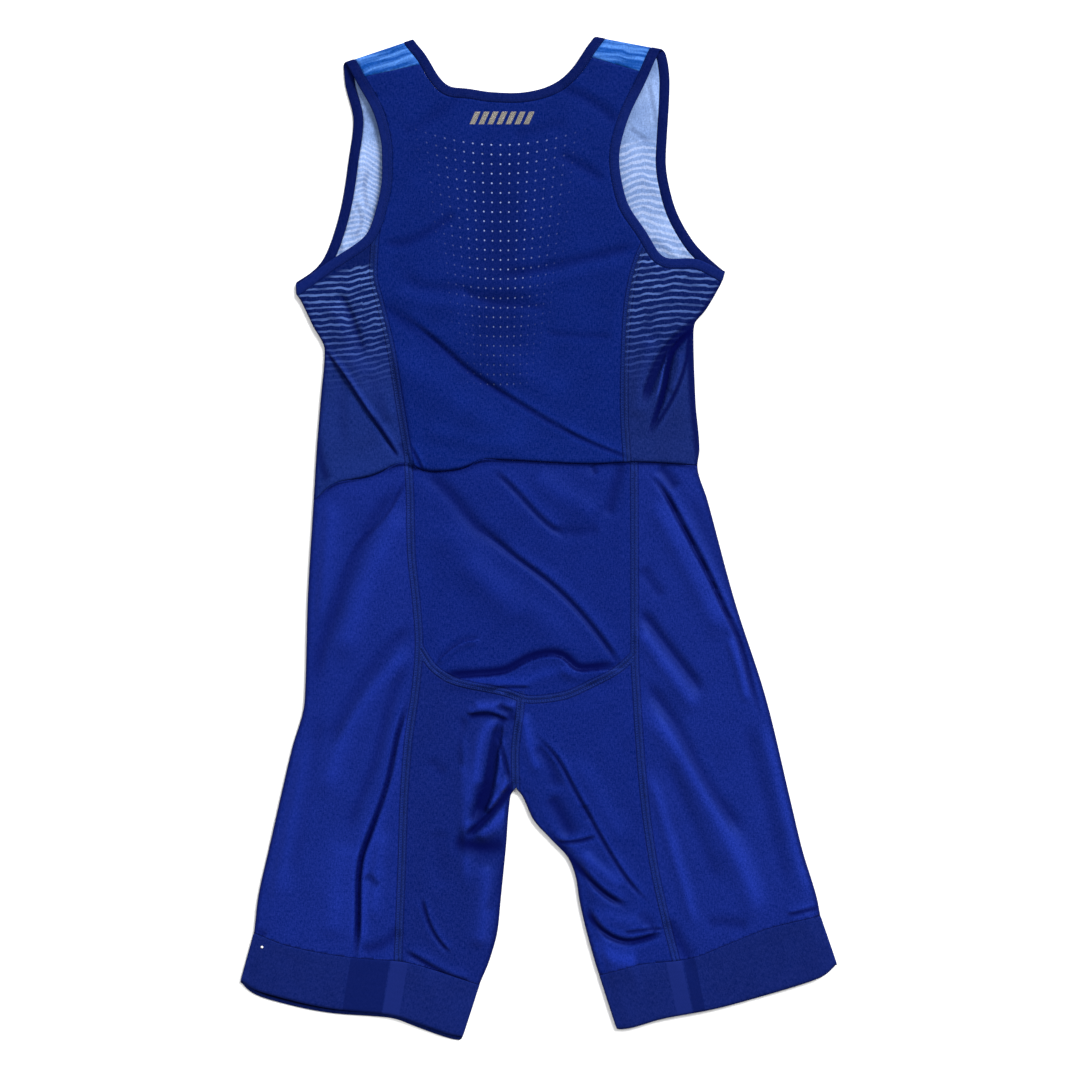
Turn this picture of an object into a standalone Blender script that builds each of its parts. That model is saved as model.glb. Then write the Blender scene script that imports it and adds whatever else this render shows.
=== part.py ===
"""A sleeveless one-piece running suit with short legs, laid flat on a surface with its back up.

Sizes are in millimetres until a mesh is made, which is in metres. +X is to the right of the laid
suit seen from above, +Y points to its neck and +Z up. The origin is on the surface, under the
middle of the suit's outline. The upper layer is the back, whose outer panels turn round the laid
edges and end on the lower layer, which is the front and lies flat.
"""

import math
from bisect import bisect_right
from collections import namedtuple

import bmesh
import bpy
from mathutils import Vector
from mathutils.geometry import delaunay_2d_cdt, intersect_line_line_2d

METRES = 0.001

# Walls and seams
CLOTH = 1.2
TRIM = 1.8
SEAM_GAP = 0.3
BINDING = 10.0

# How the two layers lie on each other, as heights of the middle of the upper wall
ROLL = 1.8
LOW = CLOTH / 2
EDGE_HEIGHT = LOW + 2 * ROLL
LOFT = 5.2
REST_HEIGHT = 2.6
EDGE_BLEND = 16.0
PROUD = ROLL + CLOTH / 2

# Mesh spacing: fine where the cloth is creased, wide where it lies flat
FINE = 14.0
WIDE = 42.0
CREASE_STEP = 17.0
CLEAR = 6.0
INSEAM = 22.0
INSEAM_RUN = 30.0
ROLL_STEPS = 5
TRIM_STEP = 8.0

LEFT, RIGHT = -1, 1

# Laid outer edge of each side, from the armpit to the hem: height up the suit, then x
LEFT_EDGE = (
    (259, -243), (249, -245), (239, -239), (214, -227), (189, -215), (139, -219), (89, -223),
    (39, -226), (-61, -232), (-161, -235), (-211, -248), (-311, -271), (-361, -282),
    (-395, -286), (-421, -294), (-446, -300),
)
RIGHT_EDGE = (
    (270, 187), (259, 184), (249, 179), (229, 167), (215, 156), (205, 155), (139, 157),
    (89, 161), (74, 159), (39, 169), (-61, 196), (-161, 228), (-261, 252), (-311, 264),
    (-361, 279), (-381, 283), (-401, 291), (-430, 300),
)
# Laid inner edge of each leg, from the crotch to the hem: height, then x
LEFT_INNER = (
    (-249, -24.5), (-256, -28), (-311, -33), (-361, -38), (-391, -41), (-421, -49),
    (-451, -61), (-481, -69), (-499, -77),
)
RIGHT_INNER = (
    (-249, -21.5), (-256, -18), (-281, -6), (-301, 12), (-321, 30), (-341, 37), (-361, 40),
    (-421, 55), (-451, 65), (-492, 78),
)
# Long back seams above and below the waist: height, then x
LEFT_BODY_SEAM = ((315, -163), (264, -166), (239, -160), (189, -148), (139, -140), (60, -127))
RIGHT_BODY_SEAM = ((320, 118), (277, 98), (249, 91), (214, 87), (139, 85), (60, 89))
# The same seams on the lower layer, where they run to the armpits
LEFT_FRONT_SEAM = ((290, -212), (264, -209), (239, -200), (189, -178), (139, -155), (95, -135), (30, -128))
RIGHT_FRONT_SEAM = ((300, 168), (272, 163), (239, 150), (189, 125), (139, 105), (95, 92), (40, 91))
LEFT_LEG_SEAM = (
    (95, -132), (39, -129), (-11, -128), (-61, -123), (-106, -120), (-146, -123), (-204, -131),
    (-266, -135.5), (-328, -137.5), (-440, -142),
)
RIGHT_LEG_SEAM = (
    (95, 95), (-61, 95.5), (-112, 95.5), (-156, 97.5), (-197, 100), (-266, 106), (-328, 115),
    (-374, 125), (-440, 142),
)
CENTRE_SEAM = ((-150, -17), (-170, -19), (-217, -24), (-255, -23))

# Seams that cross the suit: x, then height
WAIST = (
    (-232, 33), (-224, 39), (-204, 56), (-167, 63), (-135, 77), (-129, 76), (-114, 67),
    (-75, 70), (-58, 80), (-24, 78.5), (54, 75), (95, 77), (168, 73),
)
FRONT_WAIST = ((-232, 38), (168, 74))
SEAT_SEAM = (
    (-130, -96), (-120, -108), (-106, -129), (-85, -142), (-31, -154), (-11, -161), (20, -158),
    (54, -144), (81, -129), (105, -105),
)
LEFT_HEM_TOP = ((-300, -390), (-286, -394), (-251, -407), (-185, -419), (-135, -423), (-100, -433), (-55, -448))
RIGHT_HEM_TOP = ((50, -439), (63, -436), (104, -425), (146, -421), (190, -405), (228, -390), (295, -374))
LEFT_HEM = ((-310, -440), (-299, -445), (-268, -456), (-206, -470), (-148, -476), (-123, -484), (-80, -498), (-66, -502))
LEFT_FRONT_HEM = ((-310, -443), (-299, -449), (-268, -462), (-206, -473), (-148, -479), (-123, -489), (-80, -503), (-66, -506))
RIGHT_HEM = ((66, -494), (78, -491), (122, -480), (175, -470), (209, -461), (275, -441), (310, -426))

# Cut edges of the neck and armholes, from the left or upper end on: x, then height
BACK_NECK = (
    (-130, 507), (-126, 500), (-113, 484), (-100, 462), (-88, 451.5), (-75, 451), (-49, 447),
    (-24, 446), (-2, 449), (18, 457), (33.5, 471), (49.5, 495), (60, 509),
)
FRONT_NECK = (
    (-131, 507), (-126, 499), (-116, 469), (-100, 432), (-66, 400), (-30, 390), (6, 399),
    (38, 432), (52, 470), (58, 500), (60, 509),
)
LEFT_BACK_ARMHOLE = (
    (-201, 487), (-194, 478), (-182, 456), (-164, 422), (-157, 387), (-157, 364), (-164, 326),
    (-172, 305), (-188, 292), (-204, 282), (-229, 264), (-247, 251),
)
LEFT_FRONT_ARMHOLE = (
    (-199, 486), (-196, 476), (-195, 459), (-186, 419), (-191, 379), (-197, 339), (-208, 299),
    (-217, 279), (-226, 269), (-249, 254),
)
RIGHT_BACK_ARMHOLE = (
    (129, 500), (121, 489), (108, 460), (87, 414), (80, 381), (87, 340), (108, 306), (115, 294),
    (122, 283), (130, 280), (154, 281), (172, 274), (190, 264),
)
RIGHT_FRONT_ARMHOLE = (
    (120, 500), (128, 484), (131, 459), (128, 399), (127, 379), (134, 339), (154, 299),
    (173, 279), (191, 264),
)
# Where each strap turns over the shoulder, and where its front piece ends on the back
LEFT_SHOULDER = ((-196, 477), (-126, 500.5))
RIGHT_SHOULDER = ((57, 503), (126, 490))
LEFT_SHOULDER_SEAM = ((-190, 459), (-108, 477))
RIGHT_SHOULDER_SEAM = ((38, 486), (120, 462))
STRAPS_MEET = -34.0

# Creases of the upper layer, one in a row. Each runs from (x1, y1) to (x2, y2) and bows to its left
# by bow. height is up for a ridge and down for a trough. A soft one is as wide on both sides, and
# a pleat drops off sharply on its right.
Crease = namedtuple("Crease", "x1 y1 x2 y2 bow width height form")
CREASES = tuple(Crease(*row) for row in (
    (-153, 231, 75, 87, -9, 10, -2.2, "soft"),
    (-160, 262, 60, 130, 0, 40, 1.6, "soft"),
    (-23, 267, 100, 294, -3, 12, -1.8, "soft"),
    (-202, 248, -136, 113, 4, 12, -2.6, "soft"),
    (-215, 192, -139, 82, 0, 22, 4.6, "pleat"),
    (149, 214, 116, 104, -8, 9, -3.0, "soft"),
    (134, 200, 106, 135, -4, 9, -2.6, "soft"),
    (140, 222, 108, 112, -6, 20, 4.6, "soft"),
    (-122, 76, -56, 86, -3, 13, 3.4, "soft"),
    (-113, 67, 76, -117, 6, 12, -2.6, "soft"),
    (-51, 72, 30, 4, -5, 11, -3.0, "soft"),
    (-40, 76, 60, 20, 6, 24, 2.2, "soft"),
    (-85, -132, 74, -122, 13, 20, 4.8, "pleat"),
    (-65, -146, 20, -152, -5, 8, -2.6, "soft"),
    (-136, 48, -208, -85, -8, 13, -2.6, "soft"),
    (-134, 24, -214, -140, -2, 24, 2.6, "soft"),
    (-130, -126, -180, -255, -6, 13, -2.6, "soft"),
    (-138, -180, -184, -415, -14, 13, 4.4, "pleat"),
    (-46, -196, -60, -273, 2, 10, -4.0, "soft"),
    (-66, -172, -76, -290, -2, 15, 3.6, "soft"),
    (-66, -171, -22, -178, 4, 8, -3.0, "soft"),
    (-24, -240, -66, -297, 2, 9, -3.2, "soft"),
    (-45, -305, -60, -400, 5, 20, 2.4, "soft"),
    (-125, -355, -90, -411, 2, 9, -2.8, "soft"),
    (118, 66, 224, -156, 10, 8, -3.4, "soft"),
    (104, 60, 205, -150, 10, 20, 3.0, "soft"),
    (134, 40, 250, -240, 12, 16, 2.2, "soft"),
    (103, -73, 158, -149, 3, 10, -2.8, "soft"),
    (108, -129, 200, -300, 4, 15, -2.8, "soft"),
    (121, -184, 226, -392, 5, 20, 3.6, "soft"),
    (113, -250, 138, -350, 4, 12, 2.6, "soft"),
    (9, -204, 123, -388, -6, 10, 3.6, "pleat"),
    (40, -333, 82, -362, -4, 9, -3.2, "soft"),
    (52, -372, 128, -393, -14, 11, -3.6, "soft"),
    (3, -276, 34, -292, 0, 14, -2.6, "soft"),
    (250, -375, 281, -370, 0, 8, -2.6, "soft"),
))

# Colours: navy mesh back, brighter smooth lower body, dull trims, printed front and sides
MATERIALS = {
    "back_mesh": (0.010, 0.026, 0.172),
    "side_print": (0.016, 0.034, 0.160),
    "front_print": (0.100, 0.250, 0.600),
    "body_knit": (0.013, 0.026, 0.200),
    "binding_knit": (0.012, 0.018, 0.100),
    "hem_elastic": (0.012, 0.020, 0.150),
}
ROUGHNESS = {
    "back_mesh": 0.62,
    "side_print": 0.55,
    "front_print": 0.55,
    "body_knit": 0.42,
    "binding_knit": 0.70,
    "hem_elastic": 0.66,
}


def track(rows):
    """A function that follows rows of (place, value) smoothly and never overshoots them."""
    rows = sorted(rows)
    steps = [(b[1] - a[1]) / (b[0] - a[0]) for a, b in zip(rows, rows[1:])]
    inner = [0 if s * t <= 0 else 2 * s * t / (s + t) for s, t in zip(steps, steps[1:])]
    slopes = [steps[0], *inner, steps[-1]]
    places = [row[0] for row in rows]

    def value(at):
        at = min(max(at, places[0]), places[-1] - 1e-6)
        k = bisect_right(places, at) - 1
        span = places[k + 1] - places[k]
        t = (at - places[k]) / span
        start = (1 + 2 * t) * (1 - t) ** 2 * rows[k][1] + t * (1 - t) ** 2 * span * slopes[k]
        end = t * t * (3 - 2 * t) * rows[k + 1][1] - t * t * (1 - t) * span * slopes[k + 1]
        return start + end

    return value


def moved_in(rows, outward):
    """A laid edge's rows moved in from the outline to where the cloth starts to turn under."""
    return [(y, x - outward * PROUD) for y, x in rows]


def from_crotch(rows, outward):
    """The rows of a leg's inner edge, which starts to turn under at the end of the centre seam."""
    start = CENTRE_SEAM[-1][1]
    return [(CROTCH + 25, start + outward * 13), (CROTCH, start), *moved_in(rows[1:], outward)]


left_edge = track(moved_in(LEFT_EDGE, LEFT))
right_edge = track(moved_in(RIGHT_EDGE, RIGHT))
LEFT_PIT = LEFT_EDGE[0][0]
RIGHT_PIT = RIGHT_EDGE[0][0]
CROTCH = LEFT_INNER[0][0]
left_inner = track(from_crotch(LEFT_INNER, RIGHT))
right_inner = track(from_crotch(RIGHT_INNER, LEFT))


class Fold:
    """The straight line where a strap turns over the shoulder, with its outward direction."""

    def __init__(self, ends):
        a, b = (Vector(end) for end in ends)
        along = (b - a).normalized()
        self.out = Vector((-along.y, along.x))
        self.start = a - self.out * PROUD

    def beyond(self, point):
        return (point - self.start).dot(self.out)


LEFT_FOLD = Fold(LEFT_SHOULDER)
RIGHT_FOLD = Fold(RIGHT_SHOULDER)


def eased(t):
    t = min(max(t, 0.0), 1.0)
    return t * t * (3 - 2 * t)


def crease_height(crease, x, y):
    """What one crease adds to the height of the cloth at a point."""
    along = Vector((crease.x2 - crease.x1, crease.y2 - crease.y1))
    length = along.length
    along.normalize()
    offset = Vector((x - crease.x1, y - crease.y1))
    t = offset.dot(along) / length
    if not 0 < t < 1:
        return 0.0
    aside = along.x * offset.y - along.y * offset.x - 4 * crease.bow * t * (1 - t)
    sharp = crease.form == "pleat" and aside < 0
    reach = crease.width * (0.3 if sharp else 1.0)
    if abs(aside) >= reach:
        return 0.0
    ends = eased(t / 0.22) * eased((1 - t) / 0.22)
    return crease.height * ends * (1 + math.cos(math.pi * aside / reach)) / 2


def from_laid_edge(x, y):
    """Distance of a point of the upper layer from the nearest edge that turns under."""
    point = Vector((x, y))
    left = x - left_edge(y) if y < LEFT_PIT else math.dist((x, y), (left_edge(LEFT_PIT), LEFT_PIT))
    right = right_edge(y) - x if y < RIGHT_PIT else math.dist((x, y), (right_edge(RIGHT_PIT), RIGHT_PIT))
    if y >= CROTCH:
        inner = math.dist((x, y), (left_inner(CROTCH), CROTCH))
    elif x < (left_inner(y) + right_inner(y)) / 2:
        inner = left_inner(y) - x
    else:
        inner = x - right_inner(y)
    fold = LEFT_FOLD if x < STRAPS_MEET else RIGHT_FOLD
    return max(0.0, min(left, right, inner, -fold.beyond(point)))


def lift(x, y):
    """Height of the middle of the upper wall."""
    height = LOFT + sum(crease_height(crease, x, y) for crease in CREASES)
    height = max(height, REST_HEIGHT)
    return EDGE_HEIGHT + (height - EDGE_HEIGHT) * eased(from_laid_edge(x, y) / EDGE_BLEND)


# Lines in plan

def curve(points, spacing=FINE):
    """Evenly spaced points on a smooth line through the given ones."""
    at = [0.0]
    for a, b in zip(points, points[1:]):
        at.append(at[-1] + math.dist(a, b))
    x = track([(s, p[0]) for s, p in zip(at, points)])
    y = track([(s, p[1]) for s, p in zip(at, points)])
    count = max(2, round(at[-1] / spacing))
    return [Vector((x(at[-1] * k / count), y(at[-1] * k / count))) for k in range(count + 1)]


def down(rows, spacing=FINE):
    """The line of a table of (height, x), from its highest row to its lowest."""
    return curve([(x, y) for y, x in rows], spacing)


def beside(line, distance):
    """The line moved to its left by a distance."""
    found = []
    for k, point in enumerate(line):
        ahead = line[min(k + 1, len(line) - 1)] - line[max(k - 1, 0)]
        ahead.normalize()
        found.append(point + Vector((-ahead.y, ahead.x)) * distance)
    return found


def crossing(first, second):
    """Where two lines cross: the index of each segment and the point."""
    for i in range(len(first) - 1):
        for j in range(len(second) - 1):
            point = intersect_line_line_2d(first[i], first[i + 1], second[j], second[j + 1])
            if point is not None:
                return i, j, point
    raise ValueError(f"no crossing between {first[0]}..{first[-1]} and {second[0]}..{second[-1]}")


def outline(*lines):
    """The closed outline that the lines make in turn, each cut where it crosses the next."""
    cuts = [crossing(a, b) for a, b in zip(lines, lines[1:] + lines[:1])]
    found = []
    for line, before, after in zip(lines, cuts[-1:] + cuts[:-1], cuts):
        found.append(before[2])
        found += [p for p in line[before[1] + 1:after[0] + 1]
                  if min((p - before[2]).length, (p - after[2]).length) > CLEAR / 3]
    return found


def inset(polygon, distance):
    """The outline moved inwards, for the gap at a seam."""
    area = sum(a.x * b.y - a.y * b.x for a, b in zip(polygon, polygon[1:] + polygon[:1]))
    inwards = math.copysign(1, area)
    found = []
    for before, point, after in zip(polygon[-1:] + polygon[:-1], polygon, polygon[1:] + polygon[:1]):
        a, b = (point - before).normalized(), (after - point).normalized()
        na, nb = Vector((-a.y, a.x)), Vector((-b.y, b.x))
        mitre = (na + nb) / max(1 + na.dot(nb), 0.35)
        found.append(point + mitre * distance * inwards)
    return found


def cut_at(line, measure):
    """The part of a line where measure(point) is below nought, with a point put where it is nought."""
    found = []
    for a, b in zip(line, line[1:]):
        low, high = measure(a), measure(b)
        if low < 0:
            found.append(a)
        if low * high < 0:
            found.append(a + (b - a) * (low / (low - high)))
    if measure(line[-1]) < 0:
        found.append(line[-1])
    return found


def in_steps(line, count):
    """The line again, with count even steps."""
    at = [0.0]
    for a, b in zip(line, line[1:]):
        at.append(at[-1] + (b - a).length)
    found = []
    for k in range(count + 1):
        place = at[-1] * k / count
        i = min(max(bisect_right(at, place) - 1, 0), len(line) - 2)
        share = (place - at[i]) / max(at[i + 1] - at[i], 1e-9)
        found.append(line[i].lerp(line[i + 1], share))
    return found


# How a flat cut lies: each way turns a point of the cut into a point in space and the way out,
# and says how far beyond the start of a turn the point is

def on_back(x, y):
    return Vector((x, y, lift(x, y))), Vector((0, 0, 1))


def on_front(x, y):
    return Vector((x, y, LOW)), Vector((0, 0, -1))


class Flat:
    """Cloth that stays on one layer."""

    def __init__(self, place):
        self.place = place

    def beyond(self, x, y):
        return -math.inf

    def straight(self, p):
        return p


class Around:
    """Cloth of the upper layer that turns round a laid edge and comes back along the lower one."""

    def __init__(self, edge, outward):
        self.edge = edge
        self.outward = outward

    def beyond(self, x, y):
        return self.outward * (x - self.edge(y))

    def on_upper(self, p):
        """Whether a point of the cut lies on the upper layer, well clear of the turn."""
        return self.beyond(p.x, p.y) < -1.6 * math.pi * ROLL

    def straight(self, p):
        """A point of the cut moved sideways so that the laid edge is a straight line."""
        return Vector((p.x - self.edge(p.y), p.y))

    def place(self, x, y):
        beyond = self.beyond(x, y)
        turn = beyond / ROLL
        if turn <= 0:
            return on_back(x, y)
        on_edge = self.edge(y)
        if turn < math.pi:
            out = Vector((self.outward * math.sin(turn), 0, math.cos(turn)))
            return Vector((on_edge + out.x * ROLL, y, LOW + ROLL * (1 + out.z))), out
        return on_front(on_edge - self.outward * (beyond - math.pi * ROLL), y)

    def unrolled(self, line):
        """A line of the lower layer where it lies in the flat cut."""
        width = self.outward * math.pi * ROLL
        return [Vector((2 * self.edge(p.y) - p.x + width, p.y)) for p in line]


class OverShoulders:
    """Cloth of the lower layer that turns over the shoulders and comes back along the upper one."""

    def beyond(self, x, y):
        return self.fold(x).beyond(Vector((x, y)))

    def straight(self, p):
        return p

    def fold(self, x):
        return LEFT_FOLD if x < STRAPS_MEET else RIGHT_FOLD

    def place(self, x, y):
        point = Vector((x, y))
        fold = self.fold(x)
        beyond = fold.beyond(point)
        turn = beyond / ROLL
        if turn <= 0:
            return on_front(x, y)
        on_line = point - fold.out * beyond
        if turn < math.pi:
            out = fold.out * math.sin(turn)
            at = on_line + out * ROLL
            height = LOW + ROLL * (1 - math.cos(turn))
            return Vector((at.x, at.y, height)), Vector((out.x, out.y, -math.cos(turn)))
        at = on_line - fold.out * (beyond - math.pi * ROLL)
        return on_back(at.x, at.y)


def unfolded(line, fold):
    """A line of the upper layer where it lies in the flat cut of the front panel."""
    return [p + fold.out * (-2 * fold.beyond(p) + math.pi * ROLL) for p in line]


# Meshes

def inside(point, polygon):
    found = False
    for a, b in zip(polygon, polygon[1:] + polygon[:1]):
        if (a.y > point.y) != (b.y > point.y):
            if point.x < a.x + (point.y - a.y) * (b.x - a.x) / (b.y - a.y):
                found = not found
    return found


def from_outline(point, polygon):
    best = math.inf
    for a, b in zip(polygon, polygon[1:] + polygon[:1]):
        side = b - a
        t = min(max((point - a).dot(side) / max(side.length_squared, 1e-9), 0), 1)
        best = min(best, (point - a - side * t).length)
    return best


def crease_points():
    """Points along the bottom or top of every crease and along its flanks."""
    found = []
    for crease in CREASES:
        a, b = Vector((crease.x1, crease.y1)), Vector((crease.x2, crease.y2))
        along = (b - a).normalized()
        left = Vector((-along.y, along.x))
        count = max(2, round((b - a).length / CREASE_STEP))
        flanks = (-0.3, 0, 1) if crease.form == "pleat" else (-1, 0, 1)
        for k in range(1, count):
            t = k / count
            middle = a.lerp(b, t) + left * (4 * crease.bow * t * (1 - t))
            found += [middle + left * (crease.width * side) for side in flanks]
    return found


def rolled_points(polygon, laid):
    """Rows of points along a laid edge, across the turn."""
    heights = [p.y for p in polygon]
    count = int((max(heights) - min(heights)) / FINE)
    found = []
    for k in range(count + 1):
        y = min(heights) + (max(heights) - min(heights)) * k / max(count, 1)
        for turn in (-1.2, 0, 0.33, 0.67, 1, 1.9):
            found.append(Vector((laid.edge(y) + laid.outward * turn * math.pi * ROLL, y)))
    return found


def flat_cut(polygon, laid, creased, extra=()):
    """Triangles of a flat cut: its outline, the points of the creases and of the turn, and a grid."""
    points = list(polygon)
    taken = [p for p in extra if inside(p, polygon) and from_outline(p, polygon) > 0.8]
    points += taken
    low = Vector((min(p.x for p in polygon), min(p.y for p in polygon)))
    high = Vector((max(p.x for p in polygon), max(p.y for p in polygon)))

    def add(candidates, clear):
        for p in candidates:
            if not inside(p, polygon) or from_outline(p, polygon) < clear:
                continue
            if all((p - q).length > clear for q in points):
                points.append(p)

    add([p for p in crease_points() if creased(p)], CLEAR)
    for spacing, wanted in ((FINE, creased), (WIDE, lambda p: not creased(p))):
        grid = []
        for row in range(int((high.y - low.y) / spacing) + 1):
            shift = spacing / 2 if row % 2 else 0
            for column in range(int((high.x - low.x) / spacing) + 2):
                p = low + Vector((column * spacing - shift, (row + 0.5) * spacing))
                if wanted(p):
                    grid.append(p)
        add(grid, spacing * 0.56)
    ring = list(range(len(polygon)))
    triangles = delaunay_2d_cdt([laid.straight(p) for p in points], [], [ring], 1, 1e-5)[2]
    return points, triangles


def material(name):
    found = bpy.data.materials.get(name)
    if found is None:
        found = bpy.data.materials.new(name)
        found.use_nodes = True
        shader = found.node_tree.nodes["Principled BSDF"]
        shader.inputs["Base Color"].default_value = (*MATERIALS[name], 1)
        shader.inputs["Roughness"].default_value = ROUGHNESS[name]
        found.diffuse_color = (*MATERIALS[name], 1)
    return found


def add_object(name, finish, points, faces):
    mesh = bpy.data.meshes.new(name)
    mesh.from_pydata([p * METRES for p in points], [], faces)
    body = bmesh.new()
    body.from_mesh(mesh)
    bmesh.ops.recalc_face_normals(body, faces=body.faces)
    if body.calc_volume(signed=True) < 0:
        bmesh.ops.reverse_faces(body, faces=body.faces)
    body.to_mesh(mesh)
    body.free()
    mesh.shade_smooth()
    mesh.set_sharp_from_angle(angle=math.radians(50))
    mesh.materials.append(material(finish))
    found = bpy.data.objects.new(name, mesh)
    bpy.context.scene.collection.objects.link(found)
    return found


def split_on_turn(polygon, laid):
    """The outline with points added where it runs round a turn."""
    found = []
    for a, b in zip(polygon, polygon[1:] + polygon[:1]):
        found.append(a)
        start, end = laid.beyond(a.x, a.y), laid.beyond(b.x, b.y)
        if math.isinf(start) or math.isinf(end) or abs(end - start) < 0.5:
            continue
        stops = [math.pi * ROLL * k / ROLL_STEPS for k in range(ROLL_STEPS + 1)]
        shares = [(stop - start) / (end - start) for stop in stops]
        found += [a.lerp(b, share) for share in sorted(shares) if 0.05 < share < 0.95]
    return found


def panel(name, finish, polygon, laid, creased, extra=()):
    """One cut piece: its flat triangles placed in space, with a wall built both ways from them."""
    polygon = split_on_turn(inset(polygon, SEAM_GAP / 2), laid)
    flat, triangles = flat_cut(polygon, laid, creased, extra)
    placed = [laid.place(p.x, p.y) for p in flat]
    upper = [point + out * (CLOTH / 2) for point, out in placed]
    lower = [point - out * (CLOTH / 2) for point, out in placed]
    count = len(placed)
    faces = [tuple(t) for t in triangles]
    faces += [tuple(k + count for k in reversed(t)) for t in triangles]
    edges = {}
    for t in triangles:
        for a, b in zip(t, [*t[1:], t[0]]):
            edges[a, b] = True
    for a, b in edges:
        if (b, a) not in edges:
            faces += [(b, a, a + count), (b, a + count, b + count)]
    return add_object(name, finish, upper + lower, faces)


def ribbon(name, finish, lines):
    """A band that runs round an opening: lines are closed rows of (point, way out), side by side."""
    across, round_it = len(lines), len(lines[0])
    points = [point + out * (side * TRIM / 2) for side in (1, -1) for line in lines for point, out in line]

    def at(side, line, k):
        return (side * across + line) * round_it + k % round_it

    faces = []
    for k in range(round_it):
        for line in range(across - 1):
            a, b = at(0, line, k), at(0, line, k + 1)
            c, d = at(0, line + 1, k + 1), at(0, line + 1, k)
            faces += [(a, b, c), (a, c, d)]
            a, b = at(1, line, k), at(1, line, k + 1)
            c, d = at(1, line + 1, k + 1), at(1, line + 1, k)
            faces += [(a, c, b), (a, d, c)]
        for line in (0, across - 1):
            a, b = at(0, line, k), at(0, line, k + 1)
            c, d = at(1, line, k + 1), at(1, line, k)
            faces += [(a, d, c), (a, c, b)] if line == 0 else [(a, b, c), (a, c, d)]
    return add_object(name, finish, points, faces)


def turned(upper, lower, out, steps=ROLL_STEPS):
    """Stations from a point of the upper layer round a laid edge to a point of the lower one."""
    top, bottom = upper[0], lower[0]
    radius = (top.z - bottom.z) / 2
    found = []
    for k in range(1, steps):
        turn = math.pi * k / steps
        middle = top.lerp(bottom, k / steps)
        point = Vector((middle.x, middle.y, bottom.z + radius * (1 + math.cos(turn))))
        point += Vector((out.x, out.y, 0)) * (radius * math.sin(turn))
        found.append((point, Vector((out.x * math.sin(turn), out.y * math.sin(turn), math.cos(turn)))))
    return found


def trim_back(line):
    return [on_back(p.x, p.y) for p in line]


def trim_front(line):
    return [(Vector((p.x, p.y, TRIM / 2)), Vector((0, 0, -1))) for p in line]


def loop(back, front, end_out, start_out):
    """A closed row: along the back, round one laid edge, back along the front and round the other."""
    upper, lower = trim_back(back), trim_front(front)
    return (upper + turned(upper[-1], lower[0], end_out)
            + lower + turned(upper[0], lower[-1], start_out)[::-1])


# Lines that several pieces share

def on_shoulder(line, fold):
    return cut_at(line, fold.beyond)


BINDING_GAP = BINDING + SEAM_GAP / 2
BINDING_INNER = BINDING - SEAM_GAP / 2
neck_back = curve(BACK_NECK, TRIM_STEP)
neck_front = curve(FRONT_NECK, TRIM_STEP)
neck_back_inner = beside(neck_back, -BINDING_GAP)
neck_front_inner = beside(neck_front, -BINDING_GAP)
left_back_arm = curve(LEFT_BACK_ARMHOLE, TRIM_STEP)
left_front_arm = curve(LEFT_FRONT_ARMHOLE, TRIM_STEP)
right_back_arm = curve(RIGHT_BACK_ARMHOLE, TRIM_STEP)
right_front_arm = curve(RIGHT_FRONT_ARMHOLE, TRIM_STEP)
left_back_arm_inner = beside(left_back_arm, BINDING_GAP)
left_front_arm_inner = beside(left_front_arm, BINDING_GAP)
right_back_arm_inner = beside(right_back_arm, -BINDING_GAP)
right_front_arm_inner = beside(right_front_arm, -BINDING_GAP)
left_body_seam = down(LEFT_BODY_SEAM)
right_body_seam = down(RIGHT_BODY_SEAM)
left_front_seam = down(LEFT_FRONT_SEAM)
right_front_seam = down(RIGHT_FRONT_SEAM)
left_leg_seam = down(LEFT_LEG_SEAM)
right_leg_seam = down(RIGHT_LEG_SEAM)
centre_seam = down(CENTRE_SEAM)
waist = curve(WAIST)
front_waist = curve(FRONT_WAIST)
seat_seam = curve(SEAT_SEAM)


def past(line, laid):
    """The part of a line before it turns round the laid edge."""
    return cut_at(line, lambda p: laid.beyond(p.x, p.y))


def outwards(line, laid):
    """The part of a line across the suit that ends at the laid edge, run towards it."""
    return past(line if laid.outward == RIGHT else line[::-1], laid)


def everywhere(point):
    return True


def nowhere(point):
    return False


def back_panel():
    polygon = outline(
        waist[::-1], left_body_seam[::-1], left_back_arm_inner[::-1], curve(LEFT_SHOULDER_SEAM),
        neck_back_inner, curve(RIGHT_SHOULDER_SEAM), right_back_arm_inner, right_body_seam,
    )
    panel("back_panel", "back_mesh", polygon, Flat(on_back), everywhere)


def side_panel(name, laid, seam, front_seam, back_arm, front_arm):
    """A side panel from the long back seam round the laid edge to the same seam of the front."""
    arm = past(back_arm, laid) + laid.unrolled(past(front_arm, laid)[::-1])
    low = outwards(waist, laid) + laid.unrolled(outwards(front_waist, laid)[::-1])
    polygon = outline(seam[::-1], arm, laid.unrolled(front_seam), low[::-1])
    panel(name, "side_print", polygon, laid, laid.on_upper,
          rolled_points(polygon, laid))


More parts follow.
